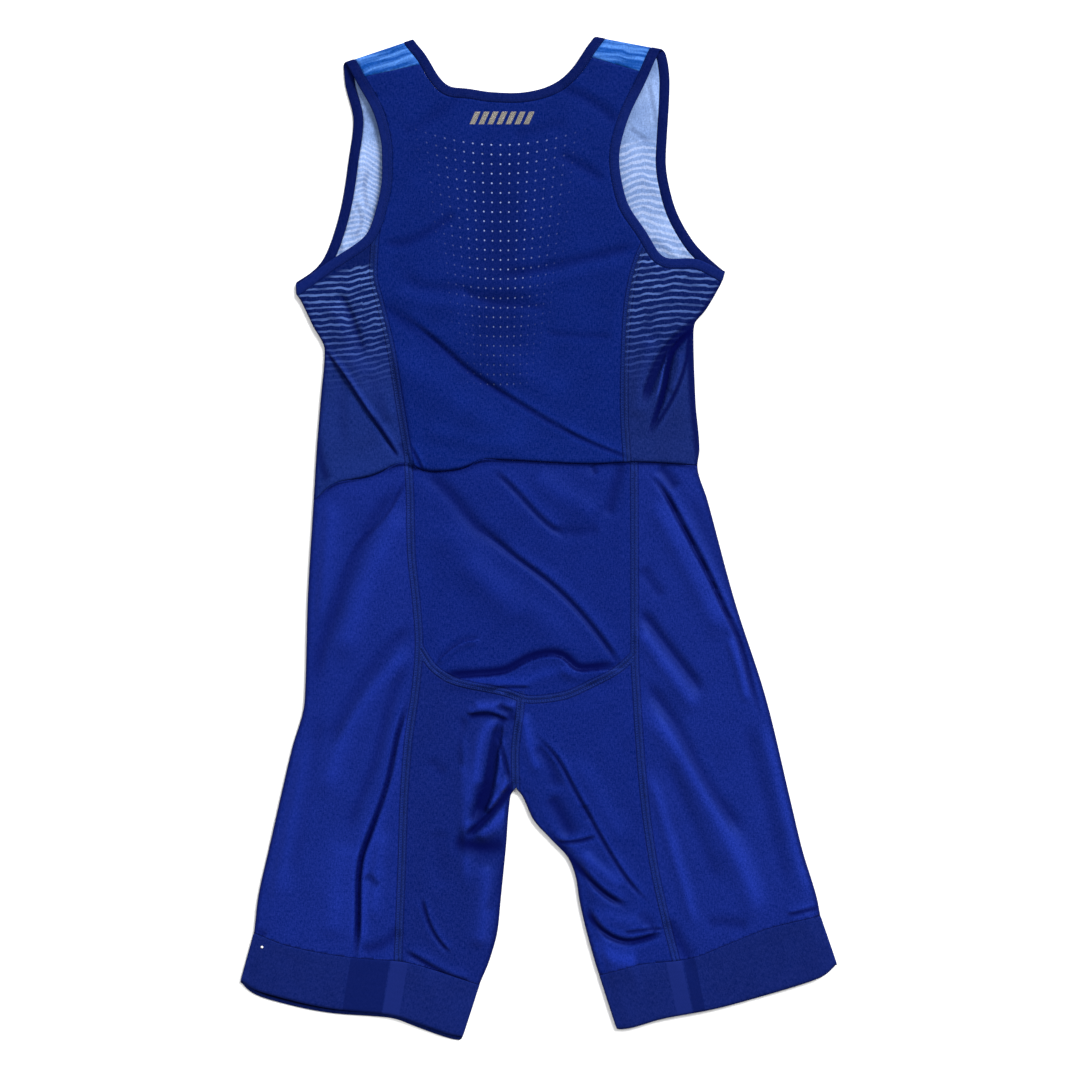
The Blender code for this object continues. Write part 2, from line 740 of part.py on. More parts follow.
def front_panel():
    def strap_edge(front, back, fold):
        return on_shoulder(front, fold)[::-1] + unfolded(on_shoulder(back, fold), fold)

    left_arm = strap_edge(left_front_arm_inner, left_back_arm_inner, LEFT_FOLD)
    right_arm = strap_edge(right_front_arm_inner, right_back_arm_inner, RIGHT_FOLD)
    middle = len(neck_front_inner) // 2
    back_middle = len(neck_back_inner) // 2
    left_back_neck = unfolded(on_shoulder(neck_back_inner[:back_middle], LEFT_FOLD), LEFT_FOLD)
    right_back_neck = unfolded(on_shoulder(neck_back_inner[back_middle:], RIGHT_FOLD), RIGHT_FOLD)
    neck = (left_back_neck[::-1] + on_shoulder(neck_front_inner[:middle], LEFT_FOLD)
            + on_shoulder(neck_front_inner[middle:], RIGHT_FOLD) + right_back_neck[::-1])
    polygon = outline(
        front_waist[::-1], left_front_seam[::-1], left_arm, unfolded(curve(LEFT_SHOULDER_SEAM), LEFT_FOLD),
        neck, unfolded(curve(RIGHT_SHOULDER_SEAM), RIGHT_FOLD), right_arm[::-1], right_front_seam,
    )
    extra = []
    for fold, ends in ((LEFT_FOLD, LEFT_SHOULDER), (RIGHT_FOLD, RIGHT_SHOULDER)):
        for p in curve([tuple(Vector(end) - fold.out * PROUD) for end in ends]):
            extra += [p + fold.out * (math.pi * ROLL * turn) for turn in (-1.2, 0, 0.33, 0.67, 1, 1.9)]
    panel("front_panel", "front_print", polygon, OverShoulders(), nowhere, extra)


def seat_panel():
    polygon = outline(waist, right_leg_seam, seat_seam[::-1], left_leg_seam[::-1])
    panel("seat_panel", "body_knit", polygon, Flat(on_back), everywhere)


def leg_outer(name, laid, seam, hem_top):
    """The outer leg panel, from the back seam round the laid edge to the front seam."""
    top = outwards(waist, laid) + laid.unrolled(outwards(front_waist, laid)[::-1])
    low = outwards(hem_top, laid)
    low += laid.unrolled(low[::-1])
    polygon = outline(seam[::-1], top, laid.unrolled(seam), low[::-1])
    panel(name, "body_knit", polygon, laid, laid.on_upper,
          rolled_points(polygon, laid))


def inseam_beyond(y):
    """How far beyond the start of the turn the inseam is, nought at the crotch."""
    return (math.pi * ROLL + INSEAM) * eased((CROTCH - y) / INSEAM_RUN)


def leg_inner(name, laid, seam, hem_top, rows):
    """The inner leg panel, from the back seams round the inner edge to the inseam."""
    low = outwards(hem_top, laid)
    low += laid.unrolled(low[::-1])
    seat = seat_seam if laid.outward == RIGHT else seat_seam[::-1]
    inseam = [p + Vector((laid.outward * inseam_beyond(p.y), 0)) for p in on_edge(laid, rows)]
    polygon = outline(seam[::-1], seat, centre_seam[:-1] + inseam, low[::-1])
    panel(name, "body_knit", polygon, laid, laid.on_upper,
          rolled_points([p for p in polygon if p.y <= CROTCH], laid))


def on_edge(laid, rows):
    """Points where a leg's inner edge starts to turn, close together near the crotch."""
    heights = [CROTCH - INSEAM_RUN * k / 6 for k in range(6)]
    heights += [p.y for p in down(rows) if p.y < CROTCH - INSEAM_RUN]
    heights.append(rows[-1][0] - 2 * FINE)
    return [Vector((laid.edge(y), y)) for y in heights]


def front_leg(name, laid, seam, hem_top, rows):
    """The front of a leg on the lower layer, from the waist to the hem band."""
    turned_under = math.pi * ROLL
    inseam = [p - Vector((laid.outward * max(0, inseam_beyond(p.y) - turned_under), 0))
              for p in on_edge(laid, rows)]
    centre = [Vector((inseam[0].x, 120)), Vector((inseam[0].x, CROTCH + FINE)), *inseam]
    across, hem = (front_waist, hem_top[::-1]) if laid.outward == RIGHT else (front_waist[::-1], hem_top)
    polygon = outline(across, centre, hem, seam[::-1])
    panel(name, "body_knit", polygon, Flat(on_front), nowhere)


def matched(outer, inner):
    """The outer line of a band in as many steps as its inner line, which keeps its own points."""
    return in_steps(outer, len(inner) - 1)


def neck_binding():
    def before_folds(line):
        return cut_at(line, lambda p: (LEFT_FOLD if p.x < STRAPS_MEET else RIGHT_FOLD).beyond(p))

    inner = [before_folds(beside(line, -BINDING_INNER)) for line in (neck_back, neck_front)]
    outer = [matched(before_folds(line), held) for line, held in zip((neck_back, neck_front), inner)]
    ribbon("neck_binding", "binding_knit",
           [loop(back, front[::-1], RIGHT_FOLD.out, LEFT_FOLD.out) for back, front in (outer, inner)])


def armhole_binding(name, laid, fold, back, front):
    inner = [past(on_shoulder(beside(line, -laid.outward * BINDING_INNER), fold), laid)
             for line in (back, front)]
    outer = [matched(past(on_shoulder(line, fold), laid), held) for line, held in zip((back, front), inner)]
    aside = Vector((laid.outward, 0))
    ribbon(name, "binding_knit",
           [loop(upper, under[::-1], aside, fold.out) for upper, under in (outer, inner)])


def hem_band(name, outer, inner, top, back_low, front_low):
    """The elastic band of one leg, a flattened tube that hangs from the leg's lower edge."""
    def between(line):
        found = in_steps(past(past(line, outer), inner), 18)
        return found if outer.outward == RIGHT else found[::-1]

    start_out, end_out = Vector((-outer.outward, 0)), Vector((outer.outward, 0))
    top_line, back_line, front_line = (between(line) for line in (beside(top, -SEAM_GAP), back_low, front_low))
    lines = []
    for share in (0, 0.5, 1):
        upper = [a.lerp(b, share) for a, b in zip(top_line, back_line)]
        under = [a.lerp(b, share) for a, b in zip(top_line, front_line)][::-1]
        lines.append(loop(upper, under, end_out, start_out))
    ribbon(name, "hem_elastic", lines)


def build():
    for old in list(bpy.data.objects):
        bpy.data.objects.remove(old, do_unlink=True)
    left, right = Around(left_edge, LEFT), Around(right_edge, RIGHT)
    left_in, right_in = Around(left_inner, RIGHT), Around(right_inner, LEFT)
    left_top, right_top = curve(LEFT_HEM_TOP), curve(RIGHT_HEM_TOP)
    back_panel()
    side_panel("side_panel_left", left, left_body_seam, left_front_seam,
               left_back_arm_inner, left_front_arm_inner)
    side_panel("side_panel_right", right, right_body_seam, right_front_seam,
               right_back_arm_inner, right_front_arm_inner)
    front_panel()
    seat_panel()
    leg_outer("leg_outer_left", left, left_leg_seam, left_top)
    leg_outer("leg_outer_right", right, right_leg_seam, right_top)
    leg_inner("leg_inner_left", left_in, left_leg_seam, left_top, LEFT_INNER)
    leg_inner("leg_inner_right", right_in, right_leg_seam, right_top, RIGHT_INNER)
    front_leg("front_leg_left", left_in, left_leg_seam, left_top, LEFT_INNER)
    front_leg("front_leg_right", right_in, right_leg_seam, right_top, RIGHT_INNER)
    neck_binding()
    armhole_binding("armhole_binding_left", left, LEFT_FOLD, left_back_arm, left_front_arm)
    armhole_binding("armhole_binding_right", right, RIGHT_FOLD, right_back_arm, right_front_arm)
    hem_band("hem_band_left", left, left_in, left_top, curve(LEFT_HEM), curve(LEFT_FRONT_HEM))
    right_low = curve(RIGHT_HEM)
    hem_band("hem_band_right", right, right_in, right_top, right_low, beside(right_low, -1.5))


build()
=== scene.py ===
"""Looks of a sleeveless running suit that lies flat with its back up: knit panels, bindings, seams.

Lengths are in millimetres until a mesh is made. +X is to the right of the suit seen from above,
+Y points to its neck and +Z up, and the surface that it lies on is at nought. The upper layer is
the back, whose outer panels turn round the laid edges and end on the lower layer, the front.
"""
import math
from collections import namedtuple

import bpy
import numpy as np
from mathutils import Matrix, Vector
from mathutils.geometry import delaunay_2d_cdt
from mathutils.kdtree import KDTree


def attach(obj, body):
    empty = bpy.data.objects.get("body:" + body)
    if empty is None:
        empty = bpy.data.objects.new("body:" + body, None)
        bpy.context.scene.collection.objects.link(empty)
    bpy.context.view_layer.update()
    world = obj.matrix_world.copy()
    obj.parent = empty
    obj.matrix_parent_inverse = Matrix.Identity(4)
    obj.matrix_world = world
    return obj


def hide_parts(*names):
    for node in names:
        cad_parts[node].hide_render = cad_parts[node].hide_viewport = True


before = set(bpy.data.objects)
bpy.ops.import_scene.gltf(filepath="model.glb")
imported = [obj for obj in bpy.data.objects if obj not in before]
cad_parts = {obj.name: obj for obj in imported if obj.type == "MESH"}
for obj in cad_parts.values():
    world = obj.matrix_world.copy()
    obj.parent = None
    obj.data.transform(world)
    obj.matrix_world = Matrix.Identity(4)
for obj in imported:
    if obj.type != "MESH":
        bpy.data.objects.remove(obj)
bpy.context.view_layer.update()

METRES = 0.001
LEFT, RIGHT = -1, 1

# Walls and seams
CLOTH = 0.8
PANEL_GAP = 0.12
BINDING = 10.0
HEM_WALL = 1.3

# How the two layers lie on each other: radius and length of a turn, and heights of the middle of the
# cloth. Near a laid edge the upper layer comes down to the turn, and it never sinks below its rest.
ROLL = 1.8
TURN = math.pi * ROLL
LOW = 0.6
EDGE_HEIGHT = LOW + 2 * ROLL
LOFT = 5.8
REST_HEIGHT = 2.1
REST_SOFTNESS = 0.6
EDGE_BLEND = 15.0
PROUD = 2.4
FRONT_RELIEF = 1.2

# The shade painted on the turned cloth: how dark, where it starts and over what length it comes in,
# and where the shade painted by the lower layer's own creases takes over
TURN_PAINTED_SHADE = 0.8
TURNED_FROM, TURNED_OVER = 2.0, 3.5
UNDER_FROM, UNDER_OVER = 1.0, 6.0

# Mesh spacing of the upper layer, beside its sharp creases, along them and of the lower layer
FINE = 3.0
SHARP = 1.4
ALONG = 1.3
WIDE = 7.0
# Share of the spacing that a grid's rows are apart and keeps clear of a turn, how far points stay
# from a cut edge, and the share of the sharp spacing that they stay from a sharp crease's own points
ROW_SHARE = 0.87
TURN_CLEAR = 0.55
CUT_CLEAR = 0.7
SHARP_CLEAR = 0.7
# Steps round a turn, and how often a line is smoothed
TURN_STEPS = 8
SMOOTHING = 6
TINY = 1e-12

# Laid outer edge of each side, from the armpit to the hem: height up the suit, then x
LEFT_EDGE = (
    (259, -243), (249, -245), (239, -239), (214, -227), (189, -215), (139, -219), (89, -223),
    (39, -226), (-61, -232), (-161, -235), (-211, -248), (-311, -271), (-361, -282),
    (-395, -286), (-421, -294), (-446, -300),
)
RIGHT_EDGE = (
    (270, 187), (259, 184), (249, 179), (229, 167), (215, 156), (205, 155), (139, 157),
    (89, 161), (74, 159), (39, 169), (-61, 196), (-161, 228), (-261, 252), (-311, 264),
    (-361, 279), (-381, 283), (-401, 291), (-430, 300),
)
# Laid inner edge of each leg, from the crotch to the hem: height, then x
LEFT_INNER = (
    (-249, -24.5), (-256, -28), (-311, -33), (-361, -38), (-391, -41), (-421, -49),
    (-451, -61), (-481, -69), (-499, -77),
)
RIGHT_INNER = (
    (-249, -21.5), (-256, -18), (-281, -6), (-301, 12), (-321, 30), (-341, 37), (-361, 40),
    (-421, 55), (-451, 65), (-492, 78),
)
# Long back seams above and below the waist, and their ends on the front: height, then x
LEFT_BODY_SEAM = ((315, -163), (264, -166), (239, -160), (189, -148), (139, -140), (60, -127))
RIGHT_BODY_SEAM = ((320, 118), (277, 98), (249, 91), (214, 87), (139, 85), (60, 89))
LEFT_FRONT_SEAM = ((290, -212), (264, -209), (239, -200), (189, -178), (139, -155), (95, -135), (30, -128))
RIGHT_FRONT_SEAM = ((300, 168), (272, 163), (239, 150), (189, 125), (139, 105), (95, 92), (40, 91))
LEFT_LEG_SEAM = (
    (95, -132), (39, -129), (-11, -128), (-61, -123), (-106, -120), (-146, -123), (-204, -131),
    (-266, -135.5), (-328, -137.5), (-440, -142),
)
RIGHT_LEG_SEAM = (
    (95, 95), (-61, 95.5), (-112, 95.5), (-156, 97.5), (-197, 100), (-266, 106), (-328, 115),
    (-374, 125), (-440, 142),
)
CENTRE_SEAM = ((-150, -17), (-170, -19), (-217, -24), (-255, -23))
# Seams that cross the suit: x, then height
WAIST = (
    (-232, 33), (-224, 39), (-204, 56), (-167, 63), (-135, 77), (-129, 76), (-114, 67),
    (-75, 70), (-58, 80), (-24, 78.5), (54, 75), (95, 77), (168, 73),
)
FRONT_WAIST = ((-232, 38), (168, 74))
SEAT_SEAM = (
    (-130, -96), (-120, -108), (-106, -129), (-85, -142), (-31, -154), (-11, -161), (20, -158),
    (54, -144), (81, -129), (105, -105),
)
LEFT_HEM_TOP = (
    (-300, -390), (-286, -394), (-251, -407), (-185, -419), (-135, -423), (-100, -433), (-55, -448),
)
RIGHT_HEM_TOP = (
    (50, -439), (63, -436), (104, -425), (146, -421), (190, -405), (228, -390), (295, -374),
)
LEFT_HEM = (
    (-310, -432), (-301, -437), (-297, -442.5), (-288, -449.5), (-268, -456), (-206, -470), (-148, -476),
    (-123, -484), (-86, -496.5), (-77, -498.5), (-70, -497), (-60, -489),
)
LEFT_FRONT_HEM = (
    (-310, -434), (-301, -440), (-297, -447), (-288, -455), (-268, -462.5), (-206, -475.5), (-148, -480),
    (-123, -489), (-86, -501.5), (-77, -503), (-70, -501), (-60, -492),
)
RIGHT_HEM = (
    (60, -480), (71, -488.5), (80, -490.5), (122, -480), (175, -470), (209, -461), (275, -441), (286, -436.5),
    (293, -430), (300, -421),
)
# Cut edges of the neck and armholes, from the left or upper end on: x, then height
BACK_NECK = (
    (-130, 507), (-126, 500), (-113, 484), (-100, 462), (-88, 451.5), (-75, 451), (-49, 447),
    (-24, 446), (-2, 449), (18, 457), (33.5, 471), (49.5, 495), (60, 509),
)
FRONT_NECK = (
    (-131, 507), (-126, 499), (-116, 469), (-100, 432), (-66, 400), (-30, 390), (6, 399),
    (38, 432), (52, 470), (58, 500), (60, 509),
)
LEFT_BACK_ARMHOLE = (
    (-201, 487), (-194, 478), (-182, 456), (-164, 422), (-157, 387), (-157, 364), (-164, 326),
    (-172, 305), (-188, 292), (-204, 282), (-229, 264), (-247, 251),
)
LEFT_FRONT_ARMHOLE = (
    (-199, 486), (-196, 476), (-195, 459), (-186, 419), (-191, 379), (-197, 339), (-208, 299),
    (-217, 279), (-226, 269), (-249, 254),
)
RIGHT_BACK_ARMHOLE = (
    (129, 500), (121, 489), (108, 460), (87, 414), (80, 381), (87, 340), (108, 306), (115, 294),
    (122, 283), (130, 280), (154, 281), (172, 274), (190, 264),
)
RIGHT_FRONT_ARMHOLE = (
    (120, 500), (128, 484), (131, 459), (128, 399), (127, 379), (134, 339), (154, 299),
    (173, 279), (191, 264),
)
# How much lower the right hem's front edge lies than its back edge
FRONT_HEM_LOWER = 1.5
# Where each strap turns over the shoulder, and where its front piece ends on the back
LEFT_SHOULDER = ((-196, 477), (-126, 500.5))
RIGHT_SHOULDER = ((57, 503), (126, 490))
LEFT_SHOULDER_SEAM = ((-190, 459), (-108, 477))
RIGHT_SHOULDER_SEAM = ((38, 486), (120, 462))
STRAPS_MEET = -34.0
INSEAM = 22.0
INSEAM_RUN = 30.0

# Creases, one in a row: the points that it runs through, how wide a flank is, its height, its form
# and the shade painted into the cloth's colour in it, less than nought for a painted highlight. A third
# value of a point is the crease's strength there. A soft crease is a low rise, or a trough where its
# height is less than nought, and a channel is one with a flat bottom. A fold is a narrow valley between
# two raised lips. A pleat is high on its left and drops sharply on its right, and a tuck is one with a
# wider painted shade.
Crease = namedtuple("Crease", "path width height form shadow")
CREASES = tuple(Crease(*row) for row in (
    # Back
    (((-166, 240), (-148, 227), (-118, 205), (-86, 182), (-59, 159), (-26, 139)), 10, -2.4, "soft", 0.36),
    (((-139, 225, 0.5), (-104, 198), (-72, 169), (-26, 139), (17, 113, 0.8), (48, 97, 0.6), (71, 86, 0.6)),
     7, 1.5, "fold", 0.60),
    (((20, 111), (44, 99), (66, 90), (94, 79)), 5, 1.0, "fold", 0.56),
    (((-160, 190), (-110, 158), (-60, 122), (0, 92)), 24, 3.0, "soft", -0.10),
    (((-60, 196), (-20, 168), (30, 140)), 20, 2.0, "soft", -0.08),
    (((-45, 263), (-10, 268), (50, 281), (103, 294)), 7, -1.8, "soft", 0.38),
    (((-60, 250), (-10, 255), (50, 268), (95, 279)), 14, 1.8, "soft", -0.06),
    (((-160, 297), (-139, 294), (-115, 305), (-96, 316), (-81, 328)), 7, -1.6, "soft", 0.36),
    (((-82, 254), (-57, 238), (-29, 234), (12, 232)), 5, -1.0, "soft", 0.34),
    (((-142, 266), (-112, 250), (-75, 250), (-57, 241), (-26, 239), (5, 236)), 9, -1.5, "soft", 0.18),
    (((-150, 250), (-115, 236), (-70, 233)), 12, 1.5, "soft", -0.05),
    (((17, 452), (35, 446), (54, 437), (80, 414)), 8, -1.8, "soft", 0.30),
    (((-72, 447), (-100, 426), (-121, 411), (-142, 402)), 9, -1.2, "soft", 0.16),
    (((-29, 402), (0, 408), (29, 417)), 8, -1.0, "soft", 0.14),
    (((18, 385), (35, 377), (66, 357)), 8, -1.8, "soft", 0.30),
    (((4, 206), (30, 203), (76, 202)), 6, -0.9, "soft", 0.22),
    (((-120, 112), (-60, 96), (-10, 90)), 12, 1.6, "soft", -0.05),
    (((-151, 200, 0.4), (-144, 165), (-138, 133), (-133, 100), (-130, 76)), 6, -1.0, "soft", 0.58),
    (((-129, 94, 0.6), (-123, 83), (-116, 68)), 4, 1.2, "fold", 0.80),
    # Left side panel
    (((-230, 213), (-214, 190), (-198, 170), (-181, 144), (-166, 122), (-152, 102), (-139, 80)),
     6.5, 3.6, "pleat", 0.88),
    (((-168, 126, 0.5), (-157, 109), (-147, 93), (-140, 80)), 3.4, -1.6, "soft", 0.85),
    (((-202, 196), (-178, 164), (-158, 134), (-146, 112)), 14, 3.2, "soft", -0.08),
    (((-200, 248), (-190, 228), (-182, 206), (-176, 184, 0.5)), 5, -2.8, "soft", 0.50),
    (((-210, 236), (-198, 212), (-190, 190)), 9, 2.0, "soft", -0.06),
    (((-172, 168), (-160, 138), (-150, 110)), 9, -1.8, "soft", 0.26),
    (((-195, 168), (-198, 130), (-196, 92)), 8, -1.2, "soft", 0.16),
    (((-214, 140), (-216, 80)), 10, 1.8, "soft", -0.10),
    (((-223, 118), (-220, 84), (-210, 54)), 6, -0.8, "soft", 0.62),
    (((-139, 98), (-133, 82), (-125, 66)), 5, -2.2, "soft", 0.50),
    # Right side panel
    (((168, 228), (152, 213), (136, 199), (124, 185), (116, 168), (109, 149), (103, 128, 0.4)),
     4.8, -2.8, "channel", 0.84),
    (((170, 222), (152, 208), (140, 197), (132, 188), (129.7, 175), (126, 153), (120, 131.5), (107, 98, 0.6)),
     3.2, -3.0, "channel", 1.0),
    (((160, 218), (145, 206), (132, 194), (126.6, 181), (122.4, 160), (115, 134)), 2.2, 2.6, "soft", -0.9),
    (((158, 220), (149, 202), (149, 185), (143, 163), (135.7, 144), (127, 129), (110, 102)),
     4, 1.6, "fold", 0.90),
    (((141, 188), (139, 168), (131, 144)), 5, 2.4, "soft", -0.14),
    (((152, 226), (151.5, 200), (152, 176), (153, 153), (155.5, 119), (159, 92), (158, 70)),
     3.6, -0.6, "channel", 0.74),
    (((188, 266), (182, 256), (175, 246), (164, 229), (152, 213), (144, 204)), 2.6, -0.4, "soft", 0.80),
    (((112, 204), (106, 178), (100, 150), (97, 118)), 11, 3.0, "soft", -0.08),
    # Seat
    (((-118, 70), (-96, 52), (-79, 32), (-62, 11), (-43, -3), (-19, -22, 0.5)), 10, -2.6, "soft", 0.56),
    (((-66, 16, 0.3), (-43, -3, 0.7), (-19, -22), (7, -41), (33, -65), (56, -92), (76, -120), (84, -134)),
     8, 1.9, "fold", 0.74),
    (((-110, 22), (-60, -32), (0, -80), (50, -122)), 24, 2.8, "soft", -0.03),
    (((-48, 70, 0.6), (-27, 51), (-8, 30), (9, 13), (28, 2)), 8, 1.4, "fold", 0.58),
    (((14, 10), (40, 5), (62, 10)), 9, -1.6, "soft", 0.28),
    (((-10, 62), (30, 40), (60, 22)), 16, 2.6, "soft", -0.10),
    (((84, 76), (75, 49), (69, 20)), 8, -2.4, "soft", 0.46),
    (((52, 74), (57, 64)), 5, -1.5, "soft", 0.50),
    (((92, -130, 0.6), (70, -131), (50, -133), (38, -135), (31, -131), (24, -118), (10, -117), (-4, -121),
      (-15, -124), (-26, -134), (-40, -137), (-62, -139), (-86, -140), (-112, -147, 0.4)),
     14, 4.4, "tuck", 1.0),
    (((-80, -147), (-52, -144), (-24, -146), (4, -136), (20, -131), (44, -142)), 9, 2.4, "soft", -0.22),
    (((-58, -101), (-74, -101), (-87, -110), (-104, -125)), 8, 2.6, "pleat", 0.50),
    (((-50, -150), (-28, -148), (-8, -149)), 4, 1.2, "fold", 0.60),
    (((-80, -20), (-40, -60), (-20, -85)), 18, 2.0, "soft", -0.07),
    # Left inner leg and crotch
    (((-68, -167), (-44, -166), (-20, -167)), 6, 3.2, "soft", -0.46),
    (((-74, -175), (-56, -172), (-42, -173), (-28, -182)), 9, 2.8, "tuck", 0.95),
    (((-36, -178, 0.3), (-41, -192, 0.7), (-45, -210, 0.8), (-48, -232, 0.9), (-52, -252), (-57, -268),
      (-66, -284)), 6.0, -4.2, "channel", 1.0),
    (((-42, -164), (-32, -171), (-24, -184)), 6, -1.6, "soft", 0.60),
    (((-36, -178, 0.5), (-50, -184), (-58, -198), (-62, -220), (-65, -248), (-68, -276)),
     8, 3.8, "soft", -0.62),
    (((-74, -176), (-79, -200), (-78, -232)), 6, -1.6, "soft", 0.34),
    (((-37, -200), (-39, -226), (-43, -250)), 4, 2.2, "soft", -0.34),
    (((-41, -196, 0.7), (-34, -222), (-29, -246)), 5, 1.8, "fold", 0.80),
    (((-27, -236), (-38, -254), (-54, -274)), 6, 2.8, "soft", -0.66),
    (((-24, -240), (-34, -258), (-47, -273), (-64, -290), (-76, -300)), 10, 2.6, "fold", 1.0),
    (((-26, -262), (-42, -284), (-62, -302)), 8, 2.6, "soft", -0.60),
    (((-88, -300, 0.8), (-68, -307), (-52, -309), (-30, -303, 0.8)), 13, -2.8, "soft", 1.0),
    (((-57, -240, 0.5), (-58, -256), (-58, -270), (-64, -286)), 11, -1.6, "soft", 0.90),
    (((-80, -180), (-75, -240), (-73, -300), (-74, -355)), 8, 3.0, "soft", -0.30),
    (((-56, -322), (-54, -360), (-60, -412)), 15, 4.4, "soft", -0.36),
    (((-34, -318), (-42, -350), (-52, -376)), 7, -2.2, "soft", 0.30),
    (((-111, -221), (-94, -237)), 8, -1.3, "soft", 0.22),
    (((-100, -290), (-98, -350)), 14, -1.5, "soft", 0.12),
    # Left outer leg
    (((-128, 58, 0.8), (-157, 31), (-172, 8), (-182, -12), (-195, -43), (-207, -78), (-221, -118),
      (-226, -160, 0.5)), 10, -3.2, "soft", 0.46),
    (((-130, 62, 0.8), (-138, 50), (-147, 34), (-158, 17, 0.6), (-169, 8), (-181, -6), (-194, -32, 0.6),
      (-206, -66, 0.3)), 4.5, 1.2, "fold", 0.60),
    (((-132, 34), (-150, 2), (-166, -30), (-182, -70), (-200, -124)), 17, 4.2, "soft", -0.20),
    (((-206, 40), (-214, -30), (-222, -90)), 13, 2.6, "soft", -0.14),
    (((-122, -86), (-140, -99), (-165, -128), (-190, -165), (-214, -214)), 9, -2.6, "soft", 0.32),
    (((-126, -106), (-146, -128), (-170, -158), (-196, -200), (-216, -262)), 13, 4.0, "soft", -0.24),
    (((-126, -118), (-147, -156), (-159, -198), (-166, -226), (-180, -262), (-196, -302)),
     7, -2.4, "soft", 0.38),
    (((-128, -152, 0.6), (-136, -176), (-143, -201), (-150, -237), (-161, -272), (-172, -301), (-179, -322),
      (-181, -353), (-181, -380), (-183, -410), (-186, -432, 0.7)), 6, 2.8, "fold", 1.0),
    (((-158, -262, 0.4), (-170, -297), (-179, -322), (-181, -353), (-181, -380), (-183, -412)),
     7, 1.6, "fold", 1.0),
    (((-194, -300), (-204, -350), (-206, -402)), 20, 2.8, "soft", -0.18),
    (((-156, -290), (-163, -340), (-166, -384)), 8, 2.4, "soft", -0.20),
    (((-174, -336), (-160, -348)), 6, -1.8, "soft", 0.40),
    (((-180, -412), (-160, -409), (-138, -390)), 8, -2.2, "soft", 0.55),
    (((-118, -358), (-111, -384), (-99, -405), (-88, -416)), 5, 2.0, "fold", 0.75),
    (((-136, -412), (-103, -431), (-82, -441), (-66, -444)), 7, 2.0, "fold", 0.80),
    (((-286, -388), (-273, -398)), 5, -1.6, "soft", 0.50),
    (((-230, -200), (-248, -290), (-262, -370)), 14, 2.4, "soft", -0.14),
    (((-218, -170), (-234, -260), (-250, -350)), 9, -1.5, "soft", 0.16),
    # Right inner leg
    (((-10, -190, 0.3), (5, -205, 0.5), (19, -220), (30, -241), (52, -281), (76, -323), (92, -346),
      (113, -368, 0.6)), 5, 1.8, "fold", 0.84),
    (((-4, -206), (12, -226), (18, -252)), 9, -2.4, "soft", 0.44),
    (((10, -256), (24, -280), (34, -300)), 11, -3.2, "soft", 0.66),
    (((44, -266), (50, -284)), 7, -1.6, "soft", 0.36),
    (((6, -302), (24, -304), (41, -303), (58, -297)), 5, 1.8, "fold", 0.85),
    (((2, -288, 0.5), (25, -312), (44, -334), (58, -349), (72, -360), (90, -369)), 8, 3.0, "fold", 1.0),
    (((40, -312), (62, -332), (84, -350)), 8, 3.0, "soft", -0.24),
    (((46, -366), (54, -383), (71, -398), (90, -404), (108, -399), (126, -393)), 8, 2.8, "fold", 1.0),
    (((84, -394), (106, -391), (126, -390)), 4, 1.4, "fold", 0.75),
    (((50, -402), (74, -420), (100, -424)), 13, 3.6, "soft", -0.60),
    (((60, -372), (84, -384), (110, -380)), 9, 2.4, "soft", -0.14),
    (((-16, -172), (-12, -200), (0, -236)), 8, 3.2, "soft", -0.32),
    (((34, -216), (60, -262), (86, -310)), 14, 2.0, "soft", -0.08),
    (((98, -374), (118, -392)), 7, -1.8, "soft", 0.42),
    # Right outer leg
    (((104, 68, 0.6), (120, 55), (130, 39), (139, 22), (156, -10), (173, -43), (187, -73), (201, -101, 0.9),
      (207, -123, 0.75), (214, -150, 0.6), (224, -190, 0.4)), 7, 2.8, "fold", 1.0),
    (((120, 74), (138, 49)), 8, -2.8, "soft", 0.62),
    (((110, 44), (130, 8), (150, -30), (168, -66), (186, -102)), 13, 4.0, "soft", -0.22),
    (((188, -96), (199, -128), (208, -166)), 6, 2.4, "soft", -0.30),
    (((150, 44), (172, -4), (194, -56)), 9, -1.2, "soft", 0.20),
    (((103, -27), (110, -41), (124, -60)), 8, -1.8, "soft", 0.34),
    (((98, -68, 0.8), (107, -78), (120, -96), (137, -118), (154, -140), (166, -158, 0.5)),
     7, -3.4, "soft", 0.66),
    (((96, -86), (114, -112), (136, -142), (160, -176)), 11, 3.6, "soft", -0.22),
    (((102, -134, 0.6), (115, -154), (135, -183), (152, -215), (174, -254), (194, -282), (210, -304, 0.5)),
     9, -3.0, "soft", 0.50),
    (((102, -158), (118, -184), (146, -222), (178, -282), (208, -342), (222, -388)), 16, 5.2, "soft", -0.38),
    (((106, -228), (116, -252), (129, -295), (146, -350), (158, -396)), 8, 3.0, "soft", -0.28),
    (((124, -216), (152, -280), (180, -350)), 10, -1.8, "soft", 0.20),
    (((224, -180), (246, -262), (266, -334), (278, -362)), 9, 2.8, "soft", -0.24),
    (((205, -180), (220, -240), (236, -300), (248, -356)), 11, -2.2, "soft", 0.20),
    (((126, -380), (138, -400), (152, -424)), 10, -2.6, "soft", 0.60),
    (((246, -377), (264, -373), (286, -367)), 5, 1.4, "fold", 0.75),
    (((166, -386), (186, -384), (210, -389)), 9, -1.8, "soft", 0.34),
))

